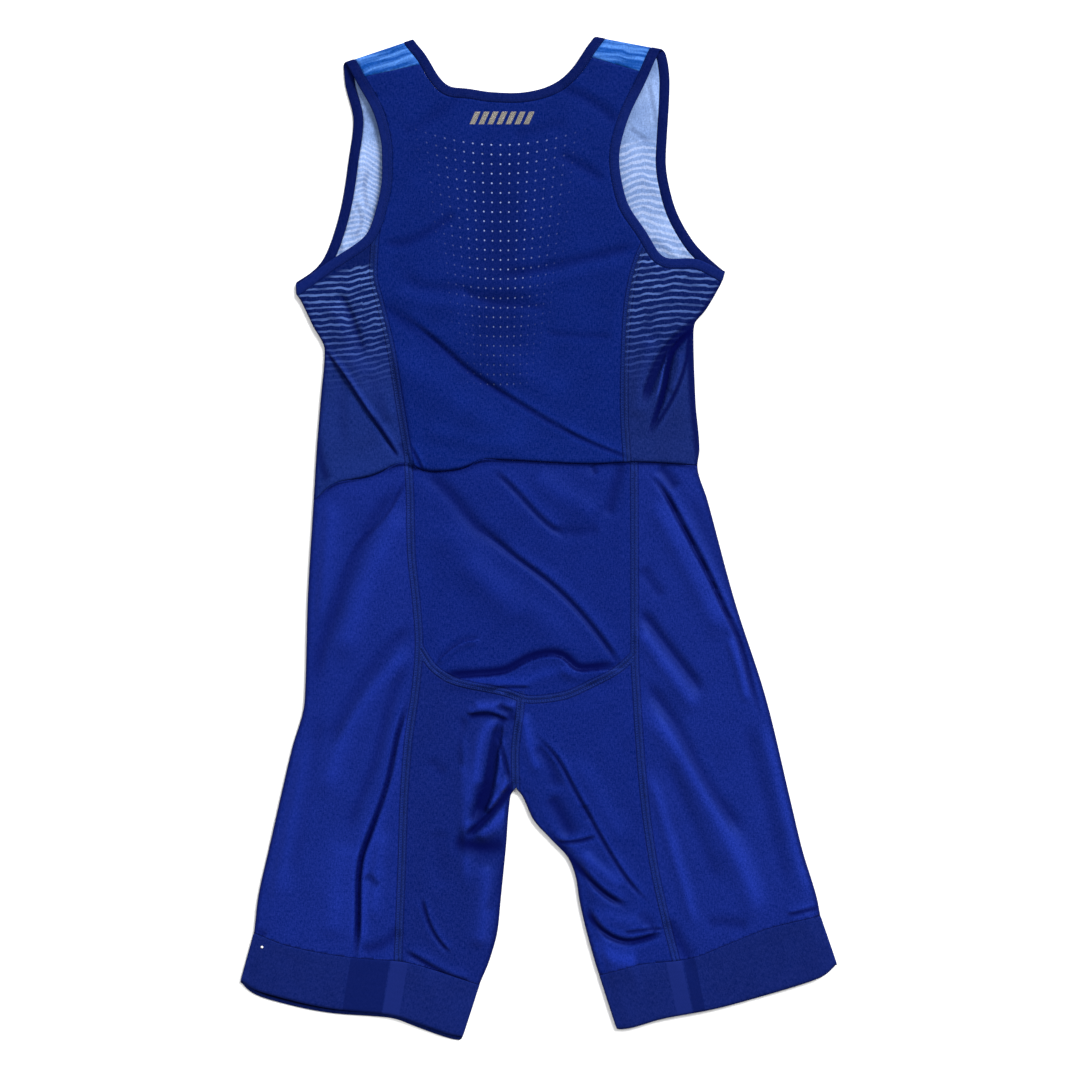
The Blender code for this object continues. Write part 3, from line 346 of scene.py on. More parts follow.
# Creases of the front, first where it shows in the armholes and then where it lies hidden
FRONT_CREASES = tuple(Crease(*row) for row in (
    (((109, 460), (113, 440), (118, 412)), 5, 1.0, "fold", 0.30),
    (((90, 413), (98, 406), (110, 398)), 5, 0.9, "fold", 0.26),
    (((100, 366), (112, 358), (122, 344)), 7, 0.9, "soft", -0.05),
    (((112, 300), (128, 288), (138, 276)), 6, 0.8, "fold", 0.20),
    (((-168, 420), (-174, 396), (-184, 372)), 8, 1.1, "soft", -0.08),
    (((-172, 372), (-176, 350), (-172, 330)), 5, 0.9, "fold", 0.24),
    (((-186, 340), (-176, 318), (-186, 300)), 5, 0.9, "fold", 0.22),
    (((-200, 300), (-196, 286), (-206, 272)), 5, 0.8, "fold", 0.30),
    (((-120, 330), (-60, 300), (10, 290), (66, 306)), 12, 0.5, "soft", 0.16),
    (((-100, 250), (-40, 235), (34, 240)), 10, 0.5, "soft", -0.10),
    (((-140, 190), (-90, 150), (-30, 120), (40, 100)), 12, 0.55, "soft", 0.24),
    (((84, 204), (50, 160), (6, 134)), 9, 0.5, "soft", 0.18),
    (((-196, 150), (-176, 110), (-150, 70)), 11, 0.5, "soft", 0.20),
    (((140, 160), (128, 120), (104, 84)), 10, 0.5, "soft", 0.18),
    (((-120, 40), (-60, 22), (0, 26), (62, 12)), 12, 0.5, "soft", 0.14),
    (((-110, -40), (-80, -90), (-44, -146)), 12, 0.55, "soft", 0.26),
    (((64, -30), (40, -90), (0, -150)), 12, 0.55, "soft", 0.24),
    (((-16, 90), (-18, 20), (-20, -70)), 14, 0.4, "soft", -0.08),
    (((-226, -60), (-196, -130), (-150, -190)), 11, 0.55, "soft", 0.22),
    (((-200, -220), (-180, -290), (-170, -366)), 10, 0.55, "soft", 0.28),
    (((-120, -250), (-100, -300), (-96, -366)), 9, 0.5, "soft", 0.20),
    (((-262, -336), (-236, -360), (-186, -382)), 11, 0.5, "soft", 0.18),
    (((176, -40), (152, -120), (118, -184)), 11, 0.55, "soft", 0.22),
    (((90, -222), (120, -290), (160, -364)), 10, 0.55, "soft", 0.28),
    (((196, -176), (218, -250), (244, -334)), 12, 0.5, "soft", 0.16),
    (((64, -334), (100, -362), (150, -382)), 9, 0.5, "soft", 0.20),
))

# The body panels blouse over the waist seam: distance above the seam, then the step or the shadow
# painted under the overhang, less than nought where a highlight is painted above it
WAIST_STEP = ((-16, 0), (-4, -1.0), (-0.4, -1.6), (0.2, 0.6), (1.5, 1.8), (5, 2.2), (24, 0))
WAIST_PAINTED_SHADOW = ((-6, 0), (-1.5, 0.50), (-0.3, 0.8), (0.3, 0.52), (1.2, -0.05), (4, -0.12), (9, 0))
WAIST_REACH = 26
# The painted shadow is weaker at the left side: x, then its strength
WAIST_STRENGTH = ((-150, 0.7), (-120, 1.0))
# Rows of mesh points along the waist seam, and how far from it the mesh is fine
WAIST_ROWS = (-1.5, -0.4, 0.4, 1.5)
WAIST_NEAR = 4


# Lines in plan

def eased(t):
    t = np.clip(t, 0, 1)
    return t * t * (3 - 2 * t)


def between(rows, at):
    """The value at some places, straight between rows of (place, value)."""
    return np.interp(at, *zip(*rows))


def track(rows):
    """A function that follows rows of (place, value) smoothly and never overshoots them."""
    places, values = np.array(sorted(rows), float).T
    steps = np.diff(values) / np.diff(places)
    before, after = steps[:-1], steps[1:]
    same_way = before * after > 0
    inner = np.where(same_way, 2 * before * after / np.where(same_way, before + after, 1), 0)
    slopes = np.concatenate([steps[:1], inner, steps[-1:]])

    def value(at):
        at = np.clip(at, places[0], places[-1])
        k = np.clip(np.searchsorted(places, at, "right") - 1, 0, len(places) - 2)
        span = places[k + 1] - places[k]
        t = (at - places[k]) / span
        start = (1 + 2 * t) * (1 - t) ** 2 * values[k] + t * (1 - t) ** 2 * span * slopes[k]
        return start + t * t * (3 - 2 * t) * values[k + 1] - t * t * (1 - t) * span * slopes[k + 1]

    return value


def lengths_along(line):
    return np.concatenate([[0], np.cumsum(np.linalg.norm(np.diff(line, axis=0), axis=1))])


def curve(points, spacing=FINE):
    """Evenly spaced points on a smooth line through the given ones."""
    points = np.array(points, float)
    at = lengths_along(points)
    count = max(2, round(at[-1] / spacing))
    places = np.linspace(0, at[-1], count + 1)
    line = np.column_stack([track(list(zip(at, points[:, k])))(places) for k in (0, 1)])
    for _ in range(SMOOTHING):
        line[1:-1] = (line[:-2] + 2 * line[1:-1] + line[2:]) / 4
    return line


def down(rows, spacing=FINE):
    """The line of a table of (height, x), from its highest row to its lowest."""
    return curve([(x, y) for y, x in rows], spacing)


def in_steps(line, count):
    """The line again, with count even steps."""
    at = lengths_along(line)
    places = np.linspace(0, at[-1], count + 1)
    return np.column_stack([np.interp(places, at, line[:, k]) for k in range(line.shape[1])])


def normals(line, smoothing=3):
    """Unit vectors to the left of a line at its points."""
    ahead = np.gradient(line, axis=0)
    for _ in range(smoothing):
        padded = np.vstack([ahead[:1], ahead, ahead[-1:]])
        ahead = (padded[:-2] + 2 * padded[1:-1] + padded[2:]) / 4
    ahead /= np.linalg.norm(ahead, axis=1)[:, None]
    return np.column_stack([-ahead[:, 1], ahead[:, 0]])


def beside(line, distance):
    return line + normals(line) * distance


def crossing(first, second):
    """Where two lines cross: the index of each segment and the point."""
    a, r = first[:-1, None], np.diff(first, axis=0)[:, None]
    b, s = second[None, :-1], np.diff(second, axis=0)[None]
    cross = r[..., 0] * s[..., 1] - r[..., 1] * s[..., 0]
    cross = np.where(np.abs(cross) < TINY, TINY, cross)
    gap = b - a
    t = (gap[..., 0] * s[..., 1] - gap[..., 1] * s[..., 0]) / cross
    u = (gap[..., 0] * r[..., 1] - gap[..., 1] * r[..., 0]) / cross
    hits = np.argwhere((t >= 0) & (t <= 1) & (u >= 0) & (u <= 1))
    if not len(hits):
        raise ValueError(f"no crossing between {first[0]}..{first[-1]} and {second[0]}..{second[-1]}")
    i, j = hits[0]
    return i, j, first[i] + (first[i + 1] - first[i]) * t[i, j]


def outline(*lines):
    """The closed outline that the lines make in turn, each cut where it crosses the next."""
    cuts = [crossing(a, b) for a, b in zip(lines, lines[1:] + lines[:1])]
    found = []
    for line, before, after in zip(lines, cuts[-1:] + cuts[:-1], cuts):
        found.append(before[2])
        found += [p for p in line[before[1] + 1:after[0] + 1]
                  if min(math.dist(p, before[2]), math.dist(p, after[2])) > FINE / 3]
    return np.array(found)


def area_of(polygon):
    """The area inside a closed outline, less than nought where it runs clockwise."""
    following = np.roll(polygon, -1, axis=0)
    return np.sum(polygon[:, 0] * following[:, 1] - polygon[:, 1] * following[:, 0]) / 2


def inset(polygon, distance, sharpest=0.35):
    """The outline moved inwards, for the gap at a seam. The sharpest corners move no further than a
    corner with that share does."""
    side = np.roll(polygon, -1, axis=0) - polygon
    side /= np.linalg.norm(side, axis=1)[:, None]
    left = np.column_stack([-side[:, 1], side[:, 0]])
    before = np.roll(left, 1, axis=0)
    share = np.maximum(1 + np.sum(left * before, axis=1), sharpest)
    return polygon + (left + before) / share[:, None] * distance * math.copysign(1, area_of(polygon))


def cut_at(line, measure):
    """The part of a line where measure is below nought, with a point put where it is nought."""
    depth = measure(line)
    found = []
    for k in range(len(line) - 1):
        if depth[k] < 0:
            found.append(line[k])
        if depth[k] * depth[k + 1] < 0:
            found.append(line[k] + (line[k + 1] - line[k]) * depth[k] / (depth[k] - depth[k + 1]))
    if depth[-1] < 0:
        found.append(line[-1])
    return np.array(found)


# Laid edges and folds

def moved_in(rows, outward):
    """A laid edge's rows moved in from the outline to where the cloth starts to turn under."""
    return [(y, x - outward * PROUD) for y, x in rows]


def from_crotch(rows, outward, rise=25, aside=13):
    """The rows of a leg's inner edge, which starts to turn under at the end of the centre seam. One
    more row, above the crotch and aside, gives the line its slope there."""
    start = CENTRE_SEAM[-1][1]
    return [(CROTCH + rise, start + outward * aside), (CROTCH, start), *moved_in(rows[1:], outward)]


LEFT_PIT = LEFT_EDGE[0][0]
RIGHT_PIT = RIGHT_EDGE[0][0]
CROTCH = LEFT_INNER[0][0]
left_edge = track(moved_in(LEFT_EDGE, LEFT))
right_edge = track(moved_in(RIGHT_EDGE, RIGHT))
left_inner = track(from_crotch(LEFT_INNER, RIGHT))
right_inner = track(from_crotch(RIGHT_INNER, LEFT))


class Fold:
    """The straight line where a strap turns over the shoulder, with its outward direction."""

    def __init__(self, ends):
        a, b = np.array(ends, float)
        along = (b - a) / math.dist(a, b)
        self.out = np.array([-along[1], along[0]])
        self.start = a - self.out * PROUD

    def beyond(self, points):
        return (points - self.start) @ self.out


LEFT_FOLD = Fold(LEFT_SHOULDER)
RIGHT_FOLD = Fold(RIGHT_SHOULDER)


def beyond_folds(points):
    return np.where(points[:, 0] < STRAPS_MEET, LEFT_FOLD.beyond(points), RIGHT_FOLD.beyond(points))


# Height of the upper layer

def measured_from(line, points, reach):
    """For the points near a line: which they are, how far to its left, and their share of its length."""
    near = np.flatnonzero(np.all((points > line.min(0) - reach) & (points < line.max(0) + reach), axis=1))
    at = lengths_along(line)
    best = np.full(len(near), np.inf)
    aside, share = np.zeros(len(near)), np.zeros(len(near))
    for k in range(len(line) - 1):
        side = line[k + 1] - line[k]
        length = at[k + 1] - at[k]
        offset = points[near] - line[k]
        t = np.clip(offset @ side / length ** 2, 0, 1)
        away = np.linalg.norm(offset - t[:, None] * side, axis=1)
        closer = away < best
        left = np.sign(side[0] * offset[:, 1] - side[1] * offset[:, 0])
        best = np.where(closer, away, best)
        aside = np.where(closer, away * left, aside)
        share = np.where(closer, (at[k] + t * length) / at[-1], share)
    return near, aside, share


# How much stronger the highlight painted on raised cloth is than the table says
PAINTED_HIGHLIGHT_GAIN = 1.7

# Sizes across a crease are in flanks. How far each form reaches, and over what length it ends there
REACH = {"soft": 1.6, "channel": 1.3, "fold": 2.6, "pleat": 1.0, "tuck": 1.0}
ENDING = {"soft": 0.5, "channel": 0.6, "fold": 0.8}

# Where each sharp form has its edges
SHARP_AT = {
    "channel": (-1.0, 1.0),
    "fold": (-0.36, 0.0, 0.36),
    "pleat": (-0.14, 0.0),
    "tuck": (-0.50, -0.13, 0.04),
}

# Spread of a soft crease's bump, and of a fold's lips and valley, how deep the valley is, the shade
# painted in it and the highlight painted on the lips
SOFT_SPREAD = 0.72
LIP_SPREAD, VALLEY_SPREAD = 1.15, 0.42
VALLEY_DEPTH, VALLEY_PAINTED_SHADE, LIP_PAINTED_HIGHLIGHT = 1.75, 1.5, 0.30

# The drop of a pleat or tuck and the shade painted along each, less than nought where a highlight
# is painted: place across it, then the value
PLEAT_DROP = ((-0.9, 0), (-0.36, -0.30), (-0.14, -0.26), (0.0, 1))
DROP_PAINTED_SHADE = {
    "pleat": ((-0.7, 0), (-0.40, 0.45), (-0.14, 1), (-0.03, 1), (0.03, 0.1), (0.3, -0.20), (0.9, 0)),
    "tuck": ((-0.80, 0), (-0.50, 1), (-0.10, 1), (0.04, 0.0), (0.35, -0.26), (0.9, 0)),
}

# Share of a crease's length over which it comes up at each end, and of a channel's width that it
# keeps there
END_SHARE = 0.16
CHANNEL_KEEPS = 0.3

# The widest soft crease that the mesh is fine at, and how far from a crease it is fine, by its form,
# in millimetres and in flanks
NARROW = 6
FINE_NEAR = {"pleat": (4.5, 0.0), "tuck": (0.0, 0.6)}
FINE_NEAR_OTHERS = (0.0, 1.1)


def bell(u, spread):
    return np.exp(-(u / spread) ** 2)


def crease_profile(form, u):
    """Height and painted shade across a crease, at u flanks to its left."""
    if form in DROP_PAINTED_SHADE:
        return np.where(u > 0, 1 - eased(u), between(PLEAT_DROP, u)), between(DROP_PAINTED_SHADE[form], u)
    faded = eased((REACH[form] - np.abs(u)) / ENDING[form])
    if form == "fold":
        lips, valley = bell(u, LIP_SPREAD), bell(u, VALLEY_SPREAD)
        shade = np.minimum(VALLEY_PAINTED_SHADE * valley, 1) - LIP_PAINTED_HIGHLIGHT * (lips - valley) * faded
        return (lips - VALLEY_DEPTH * valley) * faded, shade
    bump = bell(u, SOFT_SPREAD) * faded if form == "soft" else faded
    return bump, bump


class Wrinkles:
    """A table of creases, ready to be measured from."""

    measuring_steps = 5

    def __init__(self, rows):
        self.rows = []
        for crease in rows:
            path = [point[:2] for point in crease.path]
            line = curve(path, self.measuring_steps)
            at = lengths_along(np.array(path, float))
            strengths = [point[2] if len(point) > 2 else 1.0 for point in crease.path]
            self.rows.append((crease, line, at / at[-1], strengths))

    def lifted(self, points):
        """What the creases add to the height at some points, and the shade or highlight that they paint."""
        height, painted_shade, pale = (np.zeros(len(points)) for _ in range(3))
        for crease, line, stops, strengths in self.rows:
            near, aside, share = measured_from(line, points, crease.width * REACH[crease.form])
            ends = eased(share / END_SHARE) * eased((1 - share) / END_SHARE)
            strength = ends * np.interp(share, stops, strengths)
            taper = CHANNEL_KEEPS + (1 - CHANNEL_KEEPS) * strength if crease.form == "channel" else 1
            bump, shadow = crease_profile(crease.form, aside / crease.width / taper)
            height[near] += crease.height * strength * bump
            # Shade painted by the crease, less than nought where it paints a highlight
            shade = crease.shadow * strength * shadow
            painted_shade[near] = np.maximum(painted_shade[near], shade)
            pale[near] += np.minimum(shade, 0)
        return height, painted_shade + PAINTED_HIGHLIGHT_GAIN * pale * (1 - np.clip(painted_shade * 2, 0, 1))

    def narrow_part(self, points):
        """Which points are so near a sharp crease that the mesh is fine there."""
        found = np.zeros(len(points), bool)
        for crease, line, _, _ in self.rows:
            if crease.form == "soft" and crease.width > NARROW:
                continue
            millimetres, flanks = FINE_NEAR.get(crease.form, FINE_NEAR_OTHERS)
            reach = millimetres + flanks * crease.width
            near, aside, _ = measured_from(line, points, reach)
            found[near[np.abs(aside) < reach]] = True
        return found

    def sharp_lines(self):
        """Close rows of points along the edges of the sharp creases, so that the mesh follows them."""
        found = [np.zeros((0, 2))]
        for crease, _, _, _ in self.rows:
            line = curve([point[:2] for point in crease.path], ALONG)
            found += [beside(line, offset * crease.width) for offset in SHARP_AT.get(crease.form, ())]
        return np.vstack(found)


wrinkles, front_wrinkles = Wrinkles(CREASES), Wrinkles(FRONT_CREASES)


# Slow unevenness of the cloth, about a hand wide: how far each wave runs for a radian, across and up
# the suit, where it starts, and its share of the height
WAVES = ((41, 67, 0.6, 1.0), (73, -38, 2.1, 1.0), (29, 33, 4.0, 0.5))
WAVE_HEIGHT = 0.32


def broad_waves(points):
    x, y = points.T
    waves = (np.sin(x / across + y / up + start) * share for across, up, start, share in WAVES)
    return WAVE_HEIGHT * sum(waves)


def from_laid_edge(points):
    """Distance of points of the upper layer from the nearest edge that turns under."""
    x, y = points.T

    def to_corner(corner):
        return np.linalg.norm(points - corner, axis=1)

    left = np.where(y < LEFT_PIT, x - left_edge(y), to_corner((left_edge(LEFT_PIT), LEFT_PIT)))
    right = np.where(y < RIGHT_PIT, right_edge(y) - x, to_corner((right_edge(RIGHT_PIT), RIGHT_PIT)))
    inner = np.where(x < (left_inner(y) + right_inner(y)) / 2, left_inner(y) - x, x - right_inner(y))
    inner = np.where(y >= CROTCH, to_corner((left_inner(CROTCH), CROTCH)), inner)
    return np.clip(np.minimum.reduce([left, right, inner, -beyond_folds(points)]), 0, None)


waist_line = curve(WAIST, 2 * FINE)
waist_rows = [beside(curve(WAIST, ALONG), offset) for offset in WAIST_ROWS]


def waist_step(points):
    """Height and painted shadow near the waist seam."""
    near, aside, _ = measured_from(waist_line, points, WAIST_REACH)
    height, painted_shade = np.zeros(len(points)), np.zeros(len(points))
    if len(near):
        height[near] = between(WAIST_STEP, aside)
        painted_shade[near] = between(WAIST_PAINTED_SHADOW, aside) * between(WAIST_STRENGTH, points[near, 0])
    return height, painted_shade


def darker(first, second):
    """Of two painted shades, the darker where the second is shade, and else their sum, the second being a
    painted highlight.
    """
    return np.where(second > 0, np.maximum(first, second), first + second)


def upper(points):
    """Height of the middle of the upper layer's cloth, and the shade or highlight painted on it."""
    crease, painted_shade = wrinkles.lifted(points)
    step, step_painted_shadow = waist_step(points)
    raised = LOFT + crease + step + broad_waves(points) - REST_HEIGHT
    height = REST_HEIGHT + (raised + np.sqrt(raised ** 2 + REST_SOFTNESS)) / 2
    share = eased(from_laid_edge(points) / EDGE_BLEND)
    return EDGE_HEIGHT + (height - EDGE_HEIGHT) * share, darker(painted_shade, step_painted_shadow)


# How a flat cut lies: places of its points in space, the way out of the cloth, and its painted shade

def on_back(points):
    height, painted_shade = upper(points)
    place = np.column_stack([points, height])
    return place, np.tile([0.0, 0.0, 1.0], (len(points), 1)), painted_shade


def on_front(points, height=LOW):
    lifted, painted_shade = front_wrinkles.lifted(points)
    place = np.column_stack([points, height + lifted.clip(0, FRONT_RELIEF)])
    return place, np.tile([0.0, 0.0, -1.0], (len(points), 1)), painted_shade


class Flat:
    """Cloth that stays on one layer."""

    def __init__(self, layer):
        self.lay = layer
        self.fine = layer is on_back

    def beyond(self, points):
        return np.full(len(points), -np.inf if self.fine else np.inf)

    def straight(self, points):
        return points


class Around:
    """Cloth of the upper layer that turns round a laid edge and comes back along the lower one."""

    def __init__(self, edge, outward):
        self.edge = edge
        self.outward = outward

    def beyond(self, points):
        return self.outward * (points[:, 0] - self.edge(points[:, 1]))

    def straight(self, points):
        return np.column_stack([points[:, 0] - self.edge(points[:, 1]), points[:, 1]])

    def lay(self, points):
        beyond = self.beyond(points)
        turn = np.clip(beyond / ROLL, 0, math.pi)
        place, out, painted_shade = on_back(points)
        edge = self.edge(points[:, 1])
        under = edge - self.outward * (beyond - TURN)
        x = np.where(beyond > TURN, under, edge + self.outward * ROLL * np.sin(turn))
        turned = beyond > 0
        past_turn = eased((beyond - TURN - UNDER_FROM) / UNDER_OVER)
        lifted, under_painted_shade = front_wrinkles.lifted(np.column_stack([under, points[:, 1]]))
        # Shade painted where the cloth turns round the laid edge, giving way to the front's painted crease
        # shade
        shade_painted_at_turn = TURN_PAINTED_SHADE * eased((beyond + TURNED_FROM) / TURNED_OVER)
        painted_shade = darker(painted_shade, shade_painted_at_turn) * (1 - past_turn) + under_painted_shade * past_turn
        height = LOW + ROLL * (1 + np.cos(turn)) + lifted.clip(0, FRONT_RELIEF) * past_turn
        place[turned, 0] = x[turned]
        place[turned, 2] = height[turned]
        out[turned] = np.column_stack([self.outward * np.sin(turn), 0 * turn, np.cos(turn)])[turned]
        return place, out, painted_shade

    def unrolled(self, line):
        """A line of the lower layer where it lies in the flat cut."""
        x, y = line.T
        return np.column_stack([2 * self.edge(y) - x + self.outward * TURN, y])


class OverShoulders:
    """Cloth of the lower layer that turns over the shoulders and comes back along the upper one."""

    def beyond(self, points):
        return beyond_folds(points)

    def straight(self, points):
        return points

    def lay(self, points):
        beyond = beyond_folds(points)
        turn = np.clip(beyond / ROLL, 0, math.pi)
        fold_out = np.where(points[:, :1] < STRAPS_MEET, LEFT_FOLD.out, RIGHT_FOLD.out)
        on_line = points - fold_out * beyond[:, None]
        place, out, painted_shade = on_front(points)
        turned = beyond > 0
        at = on_line + fold_out * (ROLL * np.sin(turn))[:, None]
        place[turned] = np.column_stack([at, LOW + ROLL * (1 - np.cos(turn))])[turned]
        out[turned] = np.column_stack([fold_out * np.sin(turn)[:, None], -np.cos(turn)])[turned]
        back = beyond >= TURN
        if back.any():
            laid = (on_line - fold_out * (beyond - TURN)[:, None])[back]
            place[back], out[back], painted_shade[back] = on_back(laid)
        return place, out, painted_shade


def unfolded(line, fold):
    """A line of the upper layer where it lies in the flat cut of the front panel."""
    return line + fold.out * (-2 * fold.beyond(line) + TURN)[:, None]


# Meshes of flat cuts

def inside(points, polygon):
    found = np.zeros(len(points), bool)
    for a, b in zip(polygon, np.roll(polygon, -1, axis=0)):
        spans = (a[1] > points[:, 1]) != (b[1] > points[:, 1])
        if a[1] != b[1]:
            found ^= spans & (points[:, 0] < a[0] + (points[:, 1] - a[1]) * (b[0] - a[0]) / (b[1] - a[1]))
    return found


def from_outline(points, polygon):
    best = np.full(len(points), np.inf)
    for a, b in zip(polygon, np.roll(polygon, -1, axis=0)):
        side = b - a
        t = np.clip((points - a) @ side / max(side @ side, TINY), 0, 1)
        best = np.minimum(best, np.linalg.norm(points - a - t[:, None] * side, axis=1))
    return best


def grid(low, high, spacing):
    rows = np.arange(low[1], high[1], spacing * ROW_SHARE)
    columns = np.arange(low[0] - spacing, high[0] + spacing, spacing)
    x, y = np.meshgrid(columns, rows)
    x[1::2] += spacing / 2
    return np.column_stack([x.ravel(), y.ravel()])


def turn_points(polygon, laid):
    """Rows of points across the turn of a panel."""
    if isinstance(laid, Flat):
        return np.zeros((0, 2))
    stops = TURN * np.arange(TURN_STEPS + 1) / TURN_STEPS
    found = []
    if isinstance(laid, Around):
        y = np.arange(polygon[:, 1].min(), polygon[:, 1].max(), FINE)
        for stop in stops:
            found.append(np.column_stack([laid.edge(y) + laid.outward * stop, y]))
    else:
        for fold, ends in ((LEFT_FOLD, LEFT_SHOULDER), (RIGHT_FOLD, RIGHT_SHOULDER)):
            line = curve(np.array(ends) - fold.out * PROUD)
            found += [line + fold.out * stop for stop in stops]
    return np.vstack(found)


def split_on_turn(polygon, laid, least=0.4, clear=0.05):
    """The outline with points added where a side of it runs round a turn: one that goes at least so
    far out, but none in the clear share at either end."""
    if isinstance(laid, Flat):
        return polygon
    depth = laid.beyond(polygon)
    stops = TURN * np.arange(TURN_STEPS + 1) / TURN_STEPS
    found = []
    for k, a in enumerate(polygon):
        b, start, end = polygon[(k + 1) % len(polygon)], depth[k], depth[(k + 1) % len(polygon)]
        found.append(a)
        if abs(end - start) > least:
            shares = np.sort((stops - start) / (end - start))
            found += [a + (b - a) * share for share in shares if clear < share < 1 - clear]
    return np.array(found)


# The front's cut shows outside these x above the pits, and all of it does at the shoulders
ARMHOLES_SHOW = (-140, 72)
PITS_SHOW_ABOVE = 235
SHOULDERS_SHOW_ABOVE = 470


def seen_in_armholes(points):
    """Which points of the front's cut show from above."""
    x, y = points.T
    in_armhole = ((x < ARMHOLES_SHOW[0]) | (x > ARMHOLES_SHOW[1])) & (y > PITS_SHOW_ABOVE)
    return in_armhole | (y > SHOULDERS_SHOW_ABOVE)


def near_waist(points):
    near, aside, _ = measured_from(waist_line, points, WAIST_NEAR)
    found = np.zeros(len(points), bool)
    if len(near):
        found[near[np.abs(aside) < WAIST_NEAR]] = True
    return found


def apart_from(taken, points, gap):
    """The points that no taken one is near."""
    tree = KDTree(len(taken))
    for k, point in enumerate(taken):
        tree.insert((*point, 0), k)
    tree.balance()
    return points[[not len(taken) or tree.find((*point, 0))[2] > gap for point in points]]


def flat_points(polygon, laid):
    """Points inside a flat cut: fine where it lies on top, wide on the lower layer, close on a turn."""
    low, high = polygon.min(0), polygon.max(0)
    found = [turn_points(polygon, laid)]
    over = isinstance(laid, OverShoulders)
    lines = front_wrinkles.sharp_lines() if over else np.vstack([wrinkles.sharp_lines(), *waist_rows])
    lines = lines[inside(lines, polygon)]
    beyond = laid.beyond(lines)
    lines = lines[seen_in_armholes(lines) & (beyond < 0)] if over else lines[beyond < -FINE / 3]
    found.append(lines)
    for spacing, on_top, sharp in ((FINE, True, False), (SHARP, True, True), (WIDE, False, False)):
        points = grid(low, high, spacing)
        points = points[inside(points, polygon)]
        beyond = laid.beyond(points)
        clear = spacing * TURN_CLEAR
        if over:
            off_turn = np.abs(beyond - TURN / 2) > TURN / 2 + clear
            shows = seen_in_armholes(points) & off_turn
            points = points[shows if on_top else ~shows & off_turn]
            creases = front_wrinkles
        else:
            points = points[beyond < -clear] if on_top else points[beyond > TURN + clear]
            creases = wrinkles
        if on_top:
            narrow = creases.narrow_part(points) | (near_waist(points) & (not over))
            points = points[narrow if sharp else ~narrow]
            points = apart_from(lines, points, SHARP * SHARP_CLEAR)
        found.append(points)
    points = np.vstack(found)
    points = points[inside(points, polygon)]
    return points[from_outline(points, polygon) > CUT_CLEAR]


def new_object(name, points, faces, materials, face_materials=None, attributes=()):
    mesh = bpy.data.meshes.new(name)
    mesh.from_pydata((np.asarray(points) * METRES).tolist(), [], [tuple(int(k) for k in f) for f in faces])
    for look in materials:
        mesh.materials.append(look)
    if face_materials is not None:
        mesh.polygons.foreach_set("material_index", np.asarray(face_materials, np.int32))
    for label, kind, values in attributes:
        layer = mesh.attributes.new(label, kind, "POINT")
        field = "vector" if kind == "FLOAT_VECTOR" else "value"
        layer.data.foreach_set(field, np.asarray(values, np.float32).ravel())
    mesh.shade_smooth()
    found = bpy.data.objects.new(name, mesh)
    bpy.context.scene.collection.objects.link(found)
    return found


def shell(name, flat, triangles, laid, materials, edge_distance):
    """A closed thin wall built both ways from the laid points of a flat cut."""
    place, out, painted_shade = laid.lay(flat)
    count = len(flat)
    points = np.vstack([place + out * CLOTH / 2, place - out * CLOTH / 2])
    triangles = np.array(triangles)
    corners = flat[triangles]
    a, b = corners[:, 1] - corners[:, 0], corners[:, 2] - corners[:, 0]
    flipped = a[:, 0] * b[:, 1] - a[:, 1] * b[:, 0] < 0
    triangles[flipped] = triangles[flipped][:, ::-1]
    if isinstance(laid, OverShoulders) or (isinstance(laid, Flat) and not laid.fine):
        triangles = triangles[:, ::-1]
    rims = {}
    for t in triangles:
        for a, b in ((t[0], t[1]), (t[1], t[2]), (t[2], t[0])):
            rims[a, b] = True
    rim = [(b, a, a + count, b + count) for a, b in rims if (b, a) not in rims]
    faces = [*triangles, *(triangles[:, ::-1] + count), *rim]
    looks = [0] * len(triangles) + [1] * len(triangles) + [0] * len(rim)
    cut = np.column_stack([flat, edge_distance])
    return new_object(name, points, faces, materials, looks,
                      [("cut", "FLOAT_VECTOR", np.vstack([cut, cut])), ("painted_shade", "FLOAT", np.tile(painted_shade, 2))])


# How far from a flat seam it is measured, and the distance that points farther off are given
SEAM_REACH = 12
NO_SEAM = 30.0


def from_seams(points, seams):
    """Distance from the nearest flat seam."""
    best = np.full(len(points), NO_SEAM)
    for line in seams:
        near, aside, _ = measured_from(line, points, SEAM_REACH)
        if len(near):
            best[near] = np.minimum(best[near], np.abs(aside))
    return best


# What the triangulation keeps, and how exact it is
ONLY_INSIDE = 1
CUT_PRECISION = 1e-5


def panel(name, node, materials, polygon, laid, seams):
    """One cut piece on its CAD solid's form, with the flat seams on its edges."""
    polygon = split_on_turn(inset(polygon, PANEL_GAP / 2), laid)
    points = np.vstack([polygon, flat_points(polygon, laid)])
    ring = list(range(len(polygon)))
    straight = [Vector(p) for p in laid.straight(points)]
    triangles = delaunay_2d_cdt(straight, [], [ring], ONLY_INSIDE, CUT_PRECISION)[2]
    found = shell(name, points, triangles, laid, materials, from_seams(points, seams))
    size = (polygon.max(0) - polygon.min(0)) * METRES
    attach(found, "root")
    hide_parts(node)
    abs(area_of(polygon)) * METRES ** 2


# Lines that several pieces share

def on_shoulder(line, fold):
    return cut_at(line, fold.beyond)


def past(line, laid):
    """The part of a line before it turns round the laid edge."""
    return cut_at(line, laid.beyond)


def outwards(line, laid):
    """The part of a line across the suit that ends at the laid edge, run towards it."""
    return past(line if laid.outward == RIGHT else line[::-1], laid)


def joined(*lines):
    return np.vstack(lines)


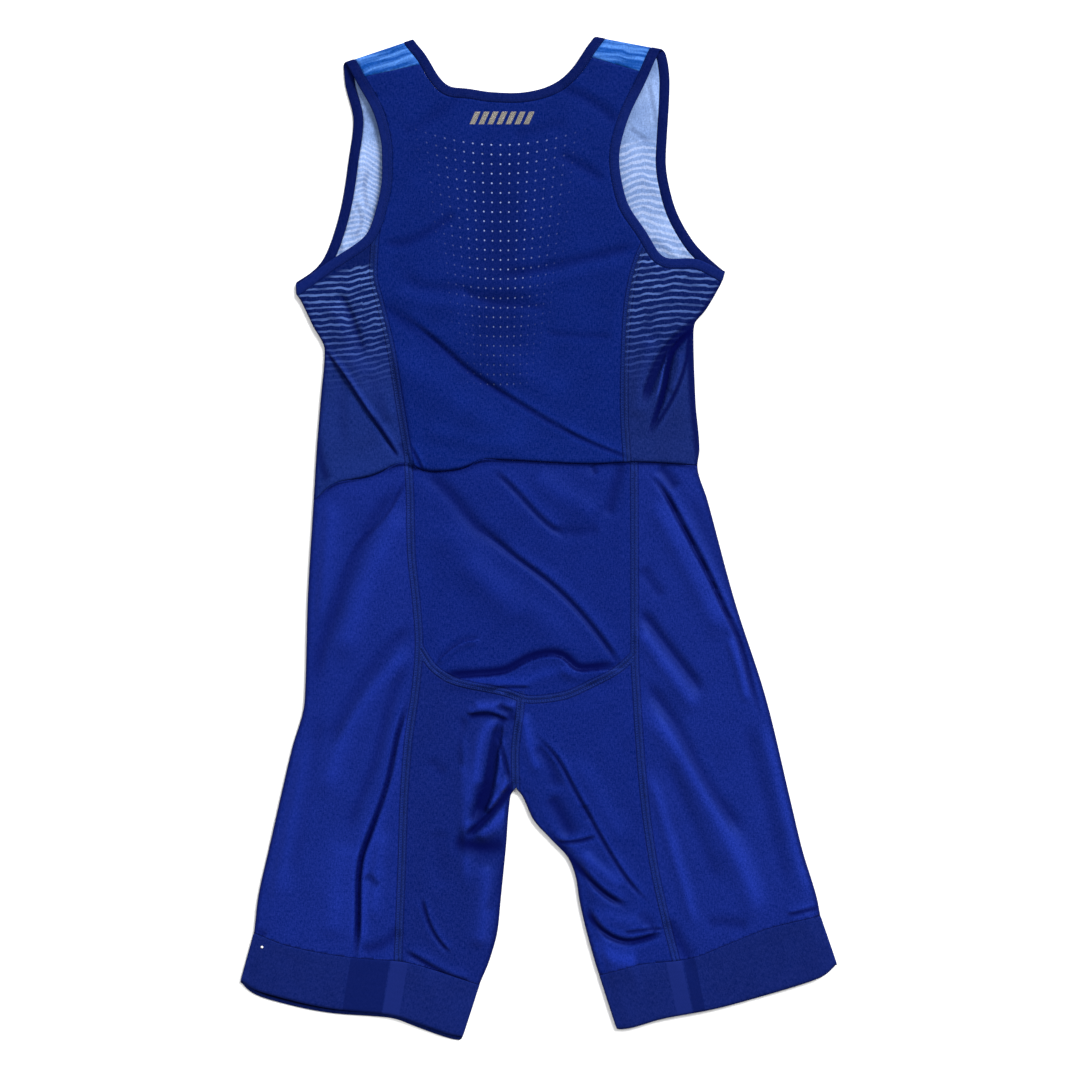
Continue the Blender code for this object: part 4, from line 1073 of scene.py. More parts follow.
PANEL_EDGE = BINDING + PANEL_GAP / 2
neck_back, neck_front = curve(BACK_NECK), curve(FRONT_NECK)
left_back_arm, left_front_arm = curve(LEFT_BACK_ARMHOLE), curve(LEFT_FRONT_ARMHOLE)
right_back_arm, right_front_arm = curve(RIGHT_BACK_ARMHOLE), curve(RIGHT_FRONT_ARMHOLE)
neck_back_inner, neck_front_inner = beside(neck_back, -PANEL_EDGE), beside(neck_front, -PANEL_EDGE)
left_back_arm_inner = beside(left_back_arm, PANEL_EDGE)
left_front_arm_inner = beside(left_front_arm, PANEL_EDGE)
right_back_arm_inner = beside(right_back_arm, -PANEL_EDGE)
right_front_arm_inner = beside(right_front_arm, -PANEL_EDGE)
left_body_seam, right_body_seam = down(LEFT_BODY_SEAM), down(RIGHT_BODY_SEAM)
left_front_seam, right_front_seam = down(LEFT_FRONT_SEAM), down(RIGHT_FRONT_SEAM)
left_leg_seam, right_leg_seam = down(LEFT_LEG_SEAM), down(RIGHT_LEG_SEAM)
centre_seam = down(CENTRE_SEAM)
waist, front_waist = curve(WAIST), curve(FRONT_WAIST)
seat_seam = curve(SEAT_SEAM)
left_hem_top, right_hem_top = curve(LEFT_HEM_TOP), curve(RIGHT_HEM_TOP)
left_shoulder_seam, right_shoulder_seam = curve(LEFT_SHOULDER_SEAM), curve(RIGHT_SHOULDER_SEAM)


# Outlines of the cut pieces

def back_outline():
    return outline(
        waist[::-1], left_body_seam[::-1], left_back_arm_inner[::-1], left_shoulder_seam,
        neck_back_inner, right_shoulder_seam, right_back_arm_inner, right_body_seam,
    )


def side_outline(laid, seam, front_seam, back_arm, front_arm):
    """From the long back seam round the laid edge to the same seam of the front."""
    arm = joined(past(back_arm, laid), laid.unrolled(past(front_arm, laid)[::-1]))
    low = joined(outwards(waist, laid), laid.unrolled(outwards(front_waist, laid)[::-1]))
    return outline(seam[::-1], arm, laid.unrolled(front_seam), low[::-1])


def front_outline():
    """The front of the body with the two pieces that turn over the shoulders."""
    def strap_edge(front, back, fold):
        return joined(on_shoulder(front, fold)[::-1], unfolded(on_shoulder(back, fold), fold))

    left_arm = strap_edge(left_front_arm_inner, left_back_arm_inner, LEFT_FOLD)
    right_arm = strap_edge(right_front_arm_inner, right_back_arm_inner, RIGHT_FOLD)
    middle, back_middle = len(neck_front_inner) // 2, len(neck_back_inner) // 2
    left_back_neck = unfolded(on_shoulder(neck_back_inner[:back_middle], LEFT_FOLD), LEFT_FOLD)
    right_back_neck = unfolded(on_shoulder(neck_back_inner[back_middle:], RIGHT_FOLD), RIGHT_FOLD)
    neck = joined(left_back_neck[::-1], on_shoulder(neck_front_inner[:middle], LEFT_FOLD),
                  on_shoulder(neck_front_inner[middle:], RIGHT_FOLD), right_back_neck[::-1])
    return outline(
        front_waist[::-1], left_front_seam[::-1], left_arm, unfolded(left_shoulder_seam, LEFT_FOLD),
        neck, unfolded(right_shoulder_seam, RIGHT_FOLD), right_arm[::-1], right_front_seam,
    )


def seat_outline():
    return outline(waist, right_leg_seam, seat_seam[::-1], left_leg_seam[::-1])


def leg_outer_outline(laid, seam, hem_top):
    """From the back seam round the laid edge to the front seam."""
    top = joined(outwards(waist, laid), laid.unrolled(outwards(front_waist, laid)[::-1]))
    low = outwards(hem_top, laid)
    low = joined(low, laid.unrolled(low[::-1]))
    return outline(seam[::-1], top, laid.unrolled(seam), low[::-1])


def inseam_beyond(y):
    """How far beyond the start of the turn the inseam is, nought at the crotch."""
    return (TURN + INSEAM) * eased((CROTCH - y) / INSEAM_RUN)


def on_edge(laid, rows, steps=12, past_hem=12):
    """Points where a leg's inner edge starts to turn, close together near the crotch."""
    near = CROTCH - INSEAM_RUN * np.arange(steps) / steps
    heights = np.concatenate([near, np.arange(CROTCH - INSEAM_RUN, rows[-1][0] - past_hem, -FINE)])
    return np.column_stack([laid.edge(heights), heights])


def leg_inner_outline(laid, seam, hem_top, rows):
    """From the back seams round the inner edge to the inseam."""
    low = outwards(hem_top, laid)
    low = joined(low, laid.unrolled(low[::-1]))
    seat = seat_seam if laid.outward == RIGHT else seat_seam[::-1]
    inseam = on_edge(laid, rows)
    inseam[:, 0] += laid.outward * inseam_beyond(inseam[:, 1])
    above = centre_seam[centre_seam[:, 1] > CROTCH + FINE / 2]
    return outline(seam[::-1], seat, joined(above, inseam), low[::-1])


# Ends of the straight seam at the centre front: above the waist, and how far above the crotch
CENTRE_TOP = 120.0
CENTRE_RISE = 14.0


def front_leg_outline(laid, seam, hem_top, rows):
    """The front of a leg on the lower layer, from the waist to the hem band."""
    inseam = on_edge(laid, rows)
    inseam[:, 0] -= laid.outward * np.clip(inseam_beyond(inseam[:, 1]) - TURN, 0, None)
    x = inseam[0, 0]
    centre = joined(np.array([(x, CENTRE_TOP), (x, CROTCH + CENTRE_RISE)]), inseam)
    across, hem = (front_waist, hem_top[::-1]) if laid.outward == RIGHT else (front_waist[::-1], hem_top)
    return outline(across, centre, hem, seam[::-1])


# Bands along the cut edges

def turned(top, bottom, out):
    """Stations from a place of the upper layer round a laid edge to one of the lower layer."""
    radius = (top[2] - bottom[2]) / 2
    places, outs = [], []
    for k in range(1, TURN_STEPS):
        turn = math.pi * k / TURN_STEPS
        middle = top + (bottom - top) * k / TURN_STEPS
        middle[2] = bottom[2] + radius * (1 + math.cos(turn))
        places.append(middle + np.array([*out, 0]) * radius * math.sin(turn))
        outs.append([out[0] * math.sin(turn), out[1] * math.sin(turn), math.cos(turn)])
    return np.array(places), np.array(outs)


def loop(back, front, end_out, start_out, low):
    """Places and ways out, along the back, round one laid edge, back along the front, round the other."""
    upper_places, upper_outs, _ = on_back(back)
    lower_places, lower_outs, _ = on_front(front, low)
    ends = turned(upper_places[-1], lower_places[0], end_out)
    starts = turned(upper_places[0], lower_places[-1], start_out)
    places = joined(upper_places, ends[0], lower_places, starts[0][::-1])
    outs = joined(upper_outs, ends[1], lower_outs, starts[1][::-1])
    return places, outs


# What the third value of a band's cut says of each face, and up to what share of its width the inner
# one is hidden in the opening
OUTER_FACE, INNER_FACE = 9.0, 10.0
INNER_SHARE = 0.94

# How dark a band is where it turns under, and which faces of it lie flat on the ground. Its width is
# measured a sixth of the way round, and is never stated as less than the least.
# The shade painted on a band where it turns under
BAND_PAINTED_SHADE = 0.6
FACES_DOWN = -0.99
MEASURED_AT = 6


def band(name, node, look, lines, section, wall):
    """A closed band round an opening. A row of the section has the share of the way from the first
    line to the last, and the height over the middle of the wall as a share of half its thickness."""
    count = len(lines[0][0])
    rings, cut, shade = [], [], []
    across = lengths_along(np.array([line[0][len(line[0]) // MEASURED_AT] for line in lines]))
    along = lengths_along(lines[0][0])
    for share, height in section:
        at = share * (len(lines) - 1)
        k = min(int(at), len(lines) - 2)
        t = at - k
        places = lines[k][0] * (1 - t) + lines[k + 1][0] * t
        outs = lines[k][1] * (1 - t) + lines[k + 1][1] * t
        rings.append(places + outs * height * wall / 2)
        face = INNER_FACE if height < 0 and share < INNER_SHARE else OUTER_FACE
        cut.append(np.column_stack([along, np.full(count, share * across[-1]), np.full(count, face)]))
        # Shade painted on the band where its faces turn away from straight up, none on faces that lie flat on
        # the ground
        shade.append(np.where(outs[:, 2] > FACES_DOWN, BAND_PAINTED_SHADE * eased(1 - outs[:, 2]), 0))
    faces = []
    for k in range(len(section)):
        a, b = k * count, (k + 1) % len(section) * count
        for j in range(count):
            after = (j + 1) % count
            faces.append((a + j, b + j, b + after, a + after))
    points = np.vstack(rings)
    found = new_object(name, points, faces, [look], None,
                       [("cut", "FLOAT_VECTOR", np.vstack(cut)), ("painted_shade", "FLOAT", np.concatenate(shade))])
    if volume(found) < 0:
        found.data.flip_normals()
    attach(found, "root")
    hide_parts(node)


def volume(thing):
    mesh = thing.data
    mesh.calc_loop_triangles()
    total = 0.0
    for triangle in mesh.loop_triangles:
        a, b, c = (mesh.vertices[k].co for k in triangle.vertices)
        total += a.dot(b.cross(c))
    return total


BINDING_SECTION = (
    (0.0, 0.0), (0.03, 0.5), (0.10, 0.86), (0.24, 1.0), (0.50, 0.94), (0.76, 1.0), (0.92, 0.84),
    (1.0, 0.36), (1.0, -0.36), (0.92, -0.84), (0.50, -1.0), (0.10, -0.86), (0.03, -0.5),
)
HEM_SECTION = (
    (0.0, -0.55), (0.0, 0.55), (0.02, 0.9), (0.08, 1.0), (0.18, 0.86), (0.35, 1.0), (0.52, 0.98), (0.70, 1.0),
    (0.86, 0.97), (0.95, 0.84), (1.0, 0.3), (1.0, -0.3), (0.95, -0.84), (0.935, -0.9), (0.52, -0.98),
    (0.08, -1.0),
)
BINDING_WALL = 2.0
HEM_STEPS = 90


def neck_binding(look):
    inner = [cut_at(beside(line, -BINDING), beyond_folds) for line in (neck_back, neck_front)]
    outer = [in_steps(cut_at(line, beyond_folds), len(held) - 1)
             for line, held in zip((neck_back, neck_front), inner)]
    lines = [loop(back, front[::-1], RIGHT_FOLD.out, LEFT_FOLD.out, BINDING_WALL / 2)
             for back, front in (outer, inner)]
    band("neck_rib", "neck_binding", look, lines, BINDING_SECTION, BINDING_WALL)
    return lines


def armhole_binding(name, node, look, laid, fold, back, front):
    inner = [past(on_shoulder(beside(line, -laid.outward * BINDING), fold), laid) for line in (back, front)]
    outer = [in_steps(past(on_shoulder(line, fold), laid), len(held) - 1)
             for line, held in zip((back, front), inner)]
    aside = (laid.outward, 0)
    lines = [loop(upper_line, under[::-1], aside, fold.out, BINDING_WALL / 2)
             for upper_line, under in (outer, inner)]
    band(name, node, look, lines, BINDING_SECTION, BINDING_WALL)
    return lines


def hem_band(name, node, look, outer, inner, top, back_low, front_low):
    """The elastic band of one leg, a flattened tube below the leg's lower edge."""
    def from_edge_to_edge(line):
        found = in_steps(past(past(line, outer), inner), HEM_STEPS)
        return found if outer.outward == RIGHT else found[::-1]

    start_out, end_out = (-outer.outward, 0), (outer.outward, 0)
    top_line = from_edge_to_edge(beside(top, -PANEL_GAP))
    back_line = from_edge_to_edge(back_low)
    front_line = from_edge_to_edge(front_low)
    lines = []
    for share in (0, 0.5, 1):
        over = top_line + (back_line - top_line) * share
        under = (top_line + (front_line - top_line) * share)[::-1]
        lines.append(loop(over, under, end_out, start_out, HEM_WALL / 2))
    band(name, node, look, lines, HEM_SECTION, HEM_WALL)


# Stitches

# Stitches of the bindings and of the rows beside a flat seam, the threads across it, and how thick
# each thread is
STITCH_PITCH = 2.5
STITCH_LENGTH = 2.0
SEAM_PITCH = 3.0
SEAM_STITCH = 1.3
SEAM_ROWS_APART = 4.6
COVER_WIDTH = 5.2
COVER_SINKS = 0.05
BINDING_THREAD = 0.3
COVER_THREAD = 0.3
SEAM_THREAD = 0.44
WHITE_THREAD = 0.9

# Where the two rows of a binding are, as shares of its width, and the end of the white thread
BINDING_ROWS = (0.70, 0.86)
THREAD_END = (-277.0, -408.0)
THREAD_END_HALF = 1.3

# Form of one stitch, as shares of its size: its back, and how small and low its ends are
BACK_WIDTH = 0.7
END_SIZE = 0.55
END_DROP = -0.25

# How high over the cloth a stitch lies and how wide it is, in threads
STITCH_RISE = 0.4
STITCH_BREADTH = 1.2


def stitch_row(places, outs, pitch=STITCH_PITCH, length=STITCH_LENGTH):
    """Starts, ends and ways out of the stitches of one row on a line in space."""
    at = lengths_along(places)
    starts = np.arange(0, at[-1] - length, pitch)
    ends = starts + length

    def on_line(values, rows):
        return np.column_stack([np.interp(values, at, rows[:, k]) for k in range(3)])

    return on_line(starts, places), on_line(ends, places), on_line((starts + ends) / 2, outs)


def pick(piece, test):
    """Selects the points of a piece in edit mode by their place."""
    bpy.ops.object.mode_set(mode="OBJECT")
    for group in (piece.data.polygons, piece.data.edges, piece.data.vertices):
        for part in group:
            part.select = False
    for vertex in piece.data.vertices:
        vertex.select = test(vertex.co)
    bpy.context.tool_settings.mesh_select_mode = (True, False, False)
    bpy.ops.object.mode_set(mode="EDIT")


def one_stitch():
    """Points and faces of a stitch of length, width and height one, modelled once: a bar of thread with
    a narrow back, whose ends sink into the cloth."""
    bpy.ops.object.select_all(action="DESELECT")
    bpy.ops.mesh.primitive_cube_add(size=1)
    bar = bpy.context.object
    bpy.ops.object.mode_set(mode="EDIT")
    bpy.ops.mesh.select_all(action="SELECT")
    bpy.ops.mesh.bisect(plane_co=(0, 0, 0), plane_no=(1, 0, 0))
    pick(bar, lambda place: place.z > 0.4)
    bpy.ops.transform.resize(value=(1, BACK_WIDTH, 1))
    pick(bar, lambda place: abs(place.x) > 0.4)
    bpy.ops.transform.resize(value=(1, END_SIZE, END_SIZE))
    bpy.ops.transform.translate(value=(0, 0, END_DROP))
    bpy.ops.object.mode_set(mode="OBJECT")
    points = np.array([tuple(vertex.co) for vertex in bar.data.vertices])
    faces = [tuple(polygon.vertices) for polygon in bar.data.polygons]
    bpy.data.meshes.remove(bar.data)
    return points, faces


def stitches(name, rows, look, thread):
    """Copies of the stitch that lie on the cloth, from start to end of each place in the rows."""
    starts, ends, outs = (np.vstack([row[k] for row in rows]) for k in range(3))
    clear = np.minimum(starts[:, 2], ends[:, 2]) > 2 * thread
    starts, ends, outs = starts[clear], ends[clear], outs[clear]
    run = ends - starts
    along = run / np.linalg.norm(run, axis=1)[:, None]
    aside = np.cross(outs, along)
    aside /= np.linalg.norm(aside, axis=1)[:, None]
    up = np.cross(along, aside)
    middles = (starts + ends) / 2 + up * thread * STITCH_RISE
    corners = []
    for x, y, z in STITCH_POINTS:
        corners.append(middles + run * x + aside * y * thread * STITCH_BREADTH + up * z * thread)
    points = np.stack(corners, axis=1)
    count = len(STITCH_POINTS)
    faces = []
    for first in range(0, count * len(points), count):
        faces += [tuple(corner + first for corner in face) for face in STITCH_FACES]
    found = new_object(name, points.reshape(-1, 3), faces, [look])
    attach(found, "root")


STITCH_POINTS, STITCH_FACES = one_stitch()


def laid_on_back(line, proud):
    places, outs, _ = on_back(line)
    return places + outs * proud, outs


def seam_rows(line):
    """Two rows of short stitches beside a seam of the upper layer."""
    rows = []
    for side in (-1, 1):
        places, outs = laid_on_back(beside(line, side * SEAM_ROWS_APART / 2), CLOTH / 2)
        rows.append(stitch_row(places, outs, SEAM_PITCH, SEAM_STITCH))
    return rows


def seam_cover(line):
    """The threads that cross a flat seam from side to side."""
    count = int(lengths_along(line)[-1] / STITCH_PITCH)
    left = in_steps(beside(line, COVER_WIDTH / 2), count)
    right = in_steps(beside(line, -COVER_WIDTH / 2), count)
    left, _ = laid_on_back(left, CLOTH / 2 - COVER_SINKS)
    right, outs = laid_on_back(right, CLOTH / 2 - COVER_SINKS)
    return [(left[:-1], right[1:], outs[1:]), (right[:-1], left[:-1], outs[:-1])]


# Shader maths

class Field:
    """What a shader socket gives, written in sums as a number is."""

    def __init__(self, look, socket):
        self.look = look
        self.socket = socket

    def math(self, operation, *values):
        return self.look.node("ShaderNodeMath", {"operation": operation}, dict(enumerate(values)))

    def __add__(self, other):
        return self.math("ADD", self, other)

    def __sub__(self, other):
        return self.math("SUBTRACT", self, other)

    def __rsub__(self, other):
        return self.math("SUBTRACT", other, self)

    def __mul__(self, other):
        return self.math("MULTIPLY", self, other)

    def __truediv__(self, other):
        return self.math("DIVIDE", self, other)

    def __lt__(self, other):
        return self.math("LESS_THAN", self, other)

    def __gt__(self, other):
        return self.math("GREATER_THAN", self, other)

    def __abs__(self):
        return self.math("ABSOLUTE", self)

    def __pow__(self, other):
        return self.math("POWER", self, other)

    __radd__ = __add__
    __rmul__ = __mul__

    def sine(self):
        return self.math("SINE", self)

    def nearest(self):
        return self.math("ROUND", self)

    def least(self, other):
        return self.math("MINIMUM", self, other)

    def most(self, other):
        return self.math("MAXIMUM", self, other)

    def ramp(self, start, end, low=0.0, high=1.0):
        """Low at start and high at end, smooth between and held outside."""
        return self.look.node("ShaderNodeMapRange", {"interpolation_type": "SMOOTHSTEP", "clamp": True},
                              {0: self, 1: start, 2: end, 3: low, 4: high})


class Look:
    """A material under construction, whose varying values are written as sums."""

    def __init__(self, name, roughness, **constants):
        self.material = bpy.data.materials.new(name)
        self.material.use_nodes = True
        self.tree = self.material.node_tree
        self.shader = self.tree.nodes["Principled BSDF"]
        self.shader.inputs["Roughness"].default_value = roughness
        for socket, value in constants.items():
            self.shader.inputs[socket.replace("_", " ")].default_value = value

    def node(self, kind, settings, sockets, output=0):
        found = self.tree.nodes.new(kind)
        for label, value in settings.items():
            setattr(found, label, value)
        for label, value in sockets.items():
            self.put(found.inputs[label], value)
        return Field(self, found.outputs[output])

    def put(self, socket, value):
        if isinstance(value, Field):
            self.tree.links.new(value.socket, socket)
        elif isinstance(value, tuple) and len(value) == 3 and socket.type == "RGBA":
            socket.default_value = (*value, 1)
        else:
            socket.default_value = value

    def attribute(self, label, output):
        return self.node("ShaderNodeAttribute", {"attribute_name": label}, {}, output)

    def parts(self, vector):
        split = self.tree.nodes.new("ShaderNodeSeparateXYZ")
        self.tree.links.new(vector.socket, split.inputs[0])
        return [Field(self, split.outputs[k]) for k in range(3)]

    def mix(self, share, first, second):
        return self.node("ShaderNodeMix", {"data_type": "RGBA", "clamp_factor": True},
                         {"Factor": share, 6: first, 7: second}, 2)

    def noise(self, vector, scale, detail=2.0, roughness=0.5):
        return self.node("ShaderNodeTexNoise", {},
                         {"Vector": vector, "Scale": scale, "Detail": detail, "Roughness": roughness})

    def vector(self, x, y, z=0.0):
        return self.node("ShaderNodeCombineXYZ", {}, {0: x, 1: y, 2: z})

    def object_place(self):
        return self.node("ShaderNodeTexCoord", {}, {}, "Object")

    def finish(self, colour, height=None, relief=0.1, roughness=None):
        """Links the worked-out values. Relief is the depth of a height of one, in millimetres."""
        self.put(self.shader.inputs["Base Color"], colour)
        if roughness is not None:
            self.put(self.shader.inputs["Roughness"], roughness)
        if height is not None:
            sockets = {"Height": height, "Distance": relief * METRES, "Strength": 1.0}
            bump = self.node("ShaderNodeBump", {}, sockets)
            self.put(self.shader.inputs["Normal"], bump)
        return self.material


# How much brighter than its own colour flat cloth is in the studio's light
LIGHT_ON_CLOTH = 1.62


def seen(red, green, blue):
    """The linear colour of a surface that looks so in the render, on a scale to 255."""
    return tuple(((value / 255 + 0.055) / 1.055) ** 2.4 / LIGHT_ON_CLOTH for value in (red, green, blue))


NAVY_MESH = seen(14, 34, 110)
NAVY_SEAT = seen(16, 34, 114)
NAVY_OUTER_LEG = seen(20, 38, 122)
NAVY_LEFT_INNER_LEG = seen(17, 33, 108)
NAVY_RIGHT_INNER_LEG = seen(17, 35, 116)
NAVY_LEFT_SIDE = seen(24, 43, 113)
NAVY_RIGHT_SIDE = seen(23, 39, 103)
NAVY_TRIM = seen(12, 24, 84)
NAVY_HEM = seen(20, 35, 104)
NAVY_DEEP = seen(6, 10, 58)
NAVY_INSIDE = seen(17, 30, 92)
NAVY_SIDE_TOP = seen(13, 28, 88)
BINDING_ON_BACK = seen(17, 33, 101)
HEM_BAR_DARK = seen(12, 25, 88)
HEM_BAR_LIGHT = seen(27, 42, 116)
HEM_OPENING_SHADOW = seen(3, 4, 24)
# The deep blue that the shade painted in folds goes towards
FOLD_SHADOW_NAVY = seen(1, 4, 68)
SEAM_TINT = seen(30, 50, 114)
THREAD_DARK, THREAD_LIGHT = seen(14, 30, 92), seen(22, 42, 116)
TOP_THREAD_DARK, TOP_THREAD_LIGHT = seen(34, 54, 128), seen(46, 68, 146)
SILVER_DARK, SILVER_LIGHT = seen(72, 70, 74), seen(196, 190, 176)
INSIDE_LINE = seen(198, 214, 252)
STRIPE_TOP = seen(106, 140, 216)
STRIPE_LOW = seen(52, 74, 150)
SHOULDER = seen(56, 110, 197)
SHOULDER_DARK = seen(24, 80, 168)
SHOULDER_PALE = seen(90, 147, 235)
PALE_INSIDE = seen(150, 178, 232)
PALE_STRIPE = seen(124, 152, 206)
DOT = seen(176, 194, 250)


# The knit's unevenness: how often its clouds and specks change in a millimetre, and its yarns across
# and up the cut, with the share of each in the grain
CLOUD_SCALE = 0.035
SPECK_SCALE = 0.60
WARP_SCALE, WEFT_SCALE = (0.80, 0.26), (0.28, 0.80)
WARP_SHARE, WEFT_SHARE, SPECK_SHARE = 0.4, 0.2, 0.4
RIB_SHARE, COURSE_SHARE = 0.16, 0.12

# How much the highlight painted on raised cloth lightens it, how dark the painted shade can make it,
# how much fibre shows, and how far the darkest painted fold shade goes to the fold shadow colour
RAISED_CLOTH_PAINTED_HIGHLIGHT = 0.78
LEAST_SHADE = 0.06
FIBRES_SHOW = 0.012
FOLD_PAINTED_SHADE = 0.94
ROUGH_SPREAD = 0.12

# A flat seam's half width, its height, and how strong its tint and the dark lines beside it are
SEAM_HALF = 3.7
SEAM_RAISED = 1.2
SEAM_TINT_SHARE = 0.34
SEAM_LINE_SHARE = 0.7

# Depths of the finishes' bumps, in millimetres
KNIT_DEPTH = 0.22
INSIDE_DEPTH = 0.2
TRIM_DEPTH = 0.16

BODY_ROUGH = 0.46
MESH_ROUGH = 0.55
PRINT_ROUGH = 0.5
INSIDE_ROUGH = 0.62
TRIM_ROUGH = 0.66


class Knit(Look):
    """Stretch knit: fine ribs and courses on the cut, soft unevenness, shade painted in folds and highlight
    painted on raised cloth.
    """

    def __init__(self, name, roughness, depth, shine=0.04, rib=1.3, course=1.05):
        super().__init__(name, roughness, Specular_IOR_Level=shine, Specular_Tint=(0.10, 0.22, 1.0, 1.0))
        self.depth = depth
        self.cut = self.attribute("cut", "Vector")
        self.x, self.y, self.edge = self.parts(self.cut)
        self.painted_shade = self.attribute("painted_shade", "Fac")
        self.cloud = self.noise(self.cut, CLOUD_SCALE, 3.0, 0.6)
        warp, weft = self.yarn(WARP_SCALE), self.yarn(WEFT_SCALE)
        speckle = self.noise(self.cut, SPECK_SCALE, 3.0, 0.7)
        self.grain = warp * WARP_SHARE + weft * WEFT_SHARE + speckle * SPECK_SHARE
        ribs = (self.x * (math.tau / rib)).sine() * RIB_SHARE
        courses = (self.y * (math.tau / course)).sine() * COURSE_SHARE
        self.loops = ribs + courses
        unevenness = (self.cloud - 0.5) * ROUGH_SPREAD + (self.grain - 0.5) * ROUGH_SPREAD
        self.rough = unevenness + roughness

    def yarn(self, scale):
        return self.noise(self.vector(self.x * scale[0], self.y * scale[1]), 1.0, 2.0, 0.6)

    def grain_and_painted_shade(self, colour, cloud=0.34, grain=2.0):
        """The colour with the cloth's unevenness, the shade painted in its creases and the highlight painted
        where it is raised.
        """
        uneven = 1.0 + (self.cloud - 0.5) * cloud + (self.grain - 0.5) * grain
        # Painted highlight lightens raised cloth, with the knit's uneven tone
        shade = (uneven * (1 - self.painted_shade.least(0.0) * RAISED_CLOTH_PAINTED_HIGHLIGHT)).most(LEAST_SHADE)
        shaded = self.node("ShaderNodeVectorMath", {"operation": "SCALE"}, {0: colour, "Scale": shade})
        pale = (self.grain - 0.5) * grain * FIBRES_SHOW
        fibres = self.vector(pale, pale, pale)
        lit = self.node("ShaderNodeVectorMath", {"operation": "ADD"}, {0: shaded, 1: fibres})
        # Painted shade in folds goes towards the deep blue of the fold shadow
        return self.mix(self.painted_shade.most(0.0) * FOLD_PAINTED_SHADE, lit, FOLD_SHADOW_NAVY)

    def seam(self, colour):
        """Colour and height with a flat seam along the cut's edge, a greyer band between deep navy lines."""
        band_share = 1 - self.edge.ramp(SEAM_HALF - 0.5, SEAM_HALF + 0.3)
        line = self.edge.ramp(SEAM_HALF - 0.9, SEAM_HALF) * (1 - self.edge.ramp(SEAM_HALF, SEAM_HALF + 1.5))
        broken = self.noise(self.cut, 0.75, 1.0).ramp(0.34, 0.6, 0.4, 1.0)
        colour = self.mix(band_share * SEAM_TINT_SHARE, colour, SEAM_TINT)
        colour = self.mix(line * broken * SEAM_LINE_SHARE, colour, NAVY_DEEP)
        return colour, self.relief() + (band_share - line) * SEAM_RAISED

    def relief(self, loops=0.5):
        return self.loops * loops + self.grain

    def knitted(self, colour, height):
        return self.finish(colour, height, self.depth, self.rough)


def body_knit(name, navy):
    look = Knit(name, BODY_ROUGH, KNIT_DEPTH, shine=0.12)
    return look.knitted(*look.seam(look.grain_and_painted_shade(navy)))


# The pattern of small holes in the back, on the cut: its middle and first row; how far apart its
# columns are, how much nearer they come for a millimetre down the back, and the least; how far apart
# its rows are, how much they rise to the sides, and the last; half its width, its narrowing, the least
HOLES_MIDDLE, HOLES_TOP = -38.5, 394.0
COLUMN_PITCH, COLUMN_NEARS, COLUMN_LEAST = 9.2, 0.0128, 6.6
ROW_PITCH, ROW_SAG, LAST_ROW = 9.58, 0.0022, 25
HOLES_REACH, REACH_NARROWS, REACH_LEAST = 92.0, 0.20, 40.0
# How wide and high the place of one hole counts as being, for its own roundness
HOLE_ACROSS, HOLE_UP = 8.6, 9.4


def back_mesh():
    """Navy knit with rows of small holes that fade out to the sides and down."""
    look = Knit("back_mesh", MESH_ROUGH, KNIT_DEPTH)
    down_the_back = HOLES_TOP - look.y
    pitch = COLUMN_PITCH - down_the_back * COLUMN_NEARS
    from_middle = look.x - HOLES_MIDDLE
    column = from_middle / pitch.most(COLUMN_LEAST)
    row = (down_the_back + from_middle * from_middle * ROW_SAG) / ROW_PITCH
    aside = (column - column.nearest()) * HOLE_ACROSS
    above = (row - row.nearest()) * HOLE_UP
    near = (aside * aside + above * above) ** 0.5
    reach = (HOLES_REACH - down_the_back * REACH_NARROWS).most(REACH_LEAST)
    share = abs(from_middle) / reach
    fade = (1 - share.ramp(0.10, 0.62)) * 0.72 + (1 - share.ramp(0.5, 1.0)) * 0.28
    lowest = 1 - down_the_back.ramp(60.0, 246.0) * 0.8
    ends = row.ramp(-0.6, -0.4) * (1 - row.ramp(LAST_ROW + 0.3, LAST_ROW + 0.5))
    uneven = look.noise(look.vector(column.nearest(), row.nearest()), 3.7).ramp(0.25, 0.7, 0.45, 1.0)
    shown = fade * lowest * ends * uneven
    hole = (1 - near.ramp(0.45, 1.15)) * shown
    pit = (1 - near.ramp(0.9, 1.6)) * fade * ends
    middle = (1 - abs(from_middle).ramp(4.0, 38.0)) * down_the_back.ramp(-12.0, 30.0)
    shaded = look.mix(middle * (1 - down_the_back.ramp(180.0, 270.0)) * 0.28, look.grain_and_painted_shade(NAVY_MESH), NAVY_DEEP)
    colour, height = look.seam(shaded)
    colour = look.mix(hole * 0.9, colour, DOT)
    colour, mark, glitter = silver_dashes(look, colour)
    look.rough = look.rough - mark * 0.2
    look.put(look.shader.inputs["Metallic"], mark * 0.5)
    return look.knitted(colour, height - pit * 2.0 + glitter * 0.8)


# The row of silver dashes: the middle of it on the cut, how far apart they are, how much each leans
# for a millimetre up, half a dash's height, and how many there are on each side of the middle one
DASHES_AT = (-37.0, 421.0)
DASH_PITCH = 9.0
DASH_LEAN = 0.45
DASH_HALF = 6.0
DASHES_BESIDE = 3


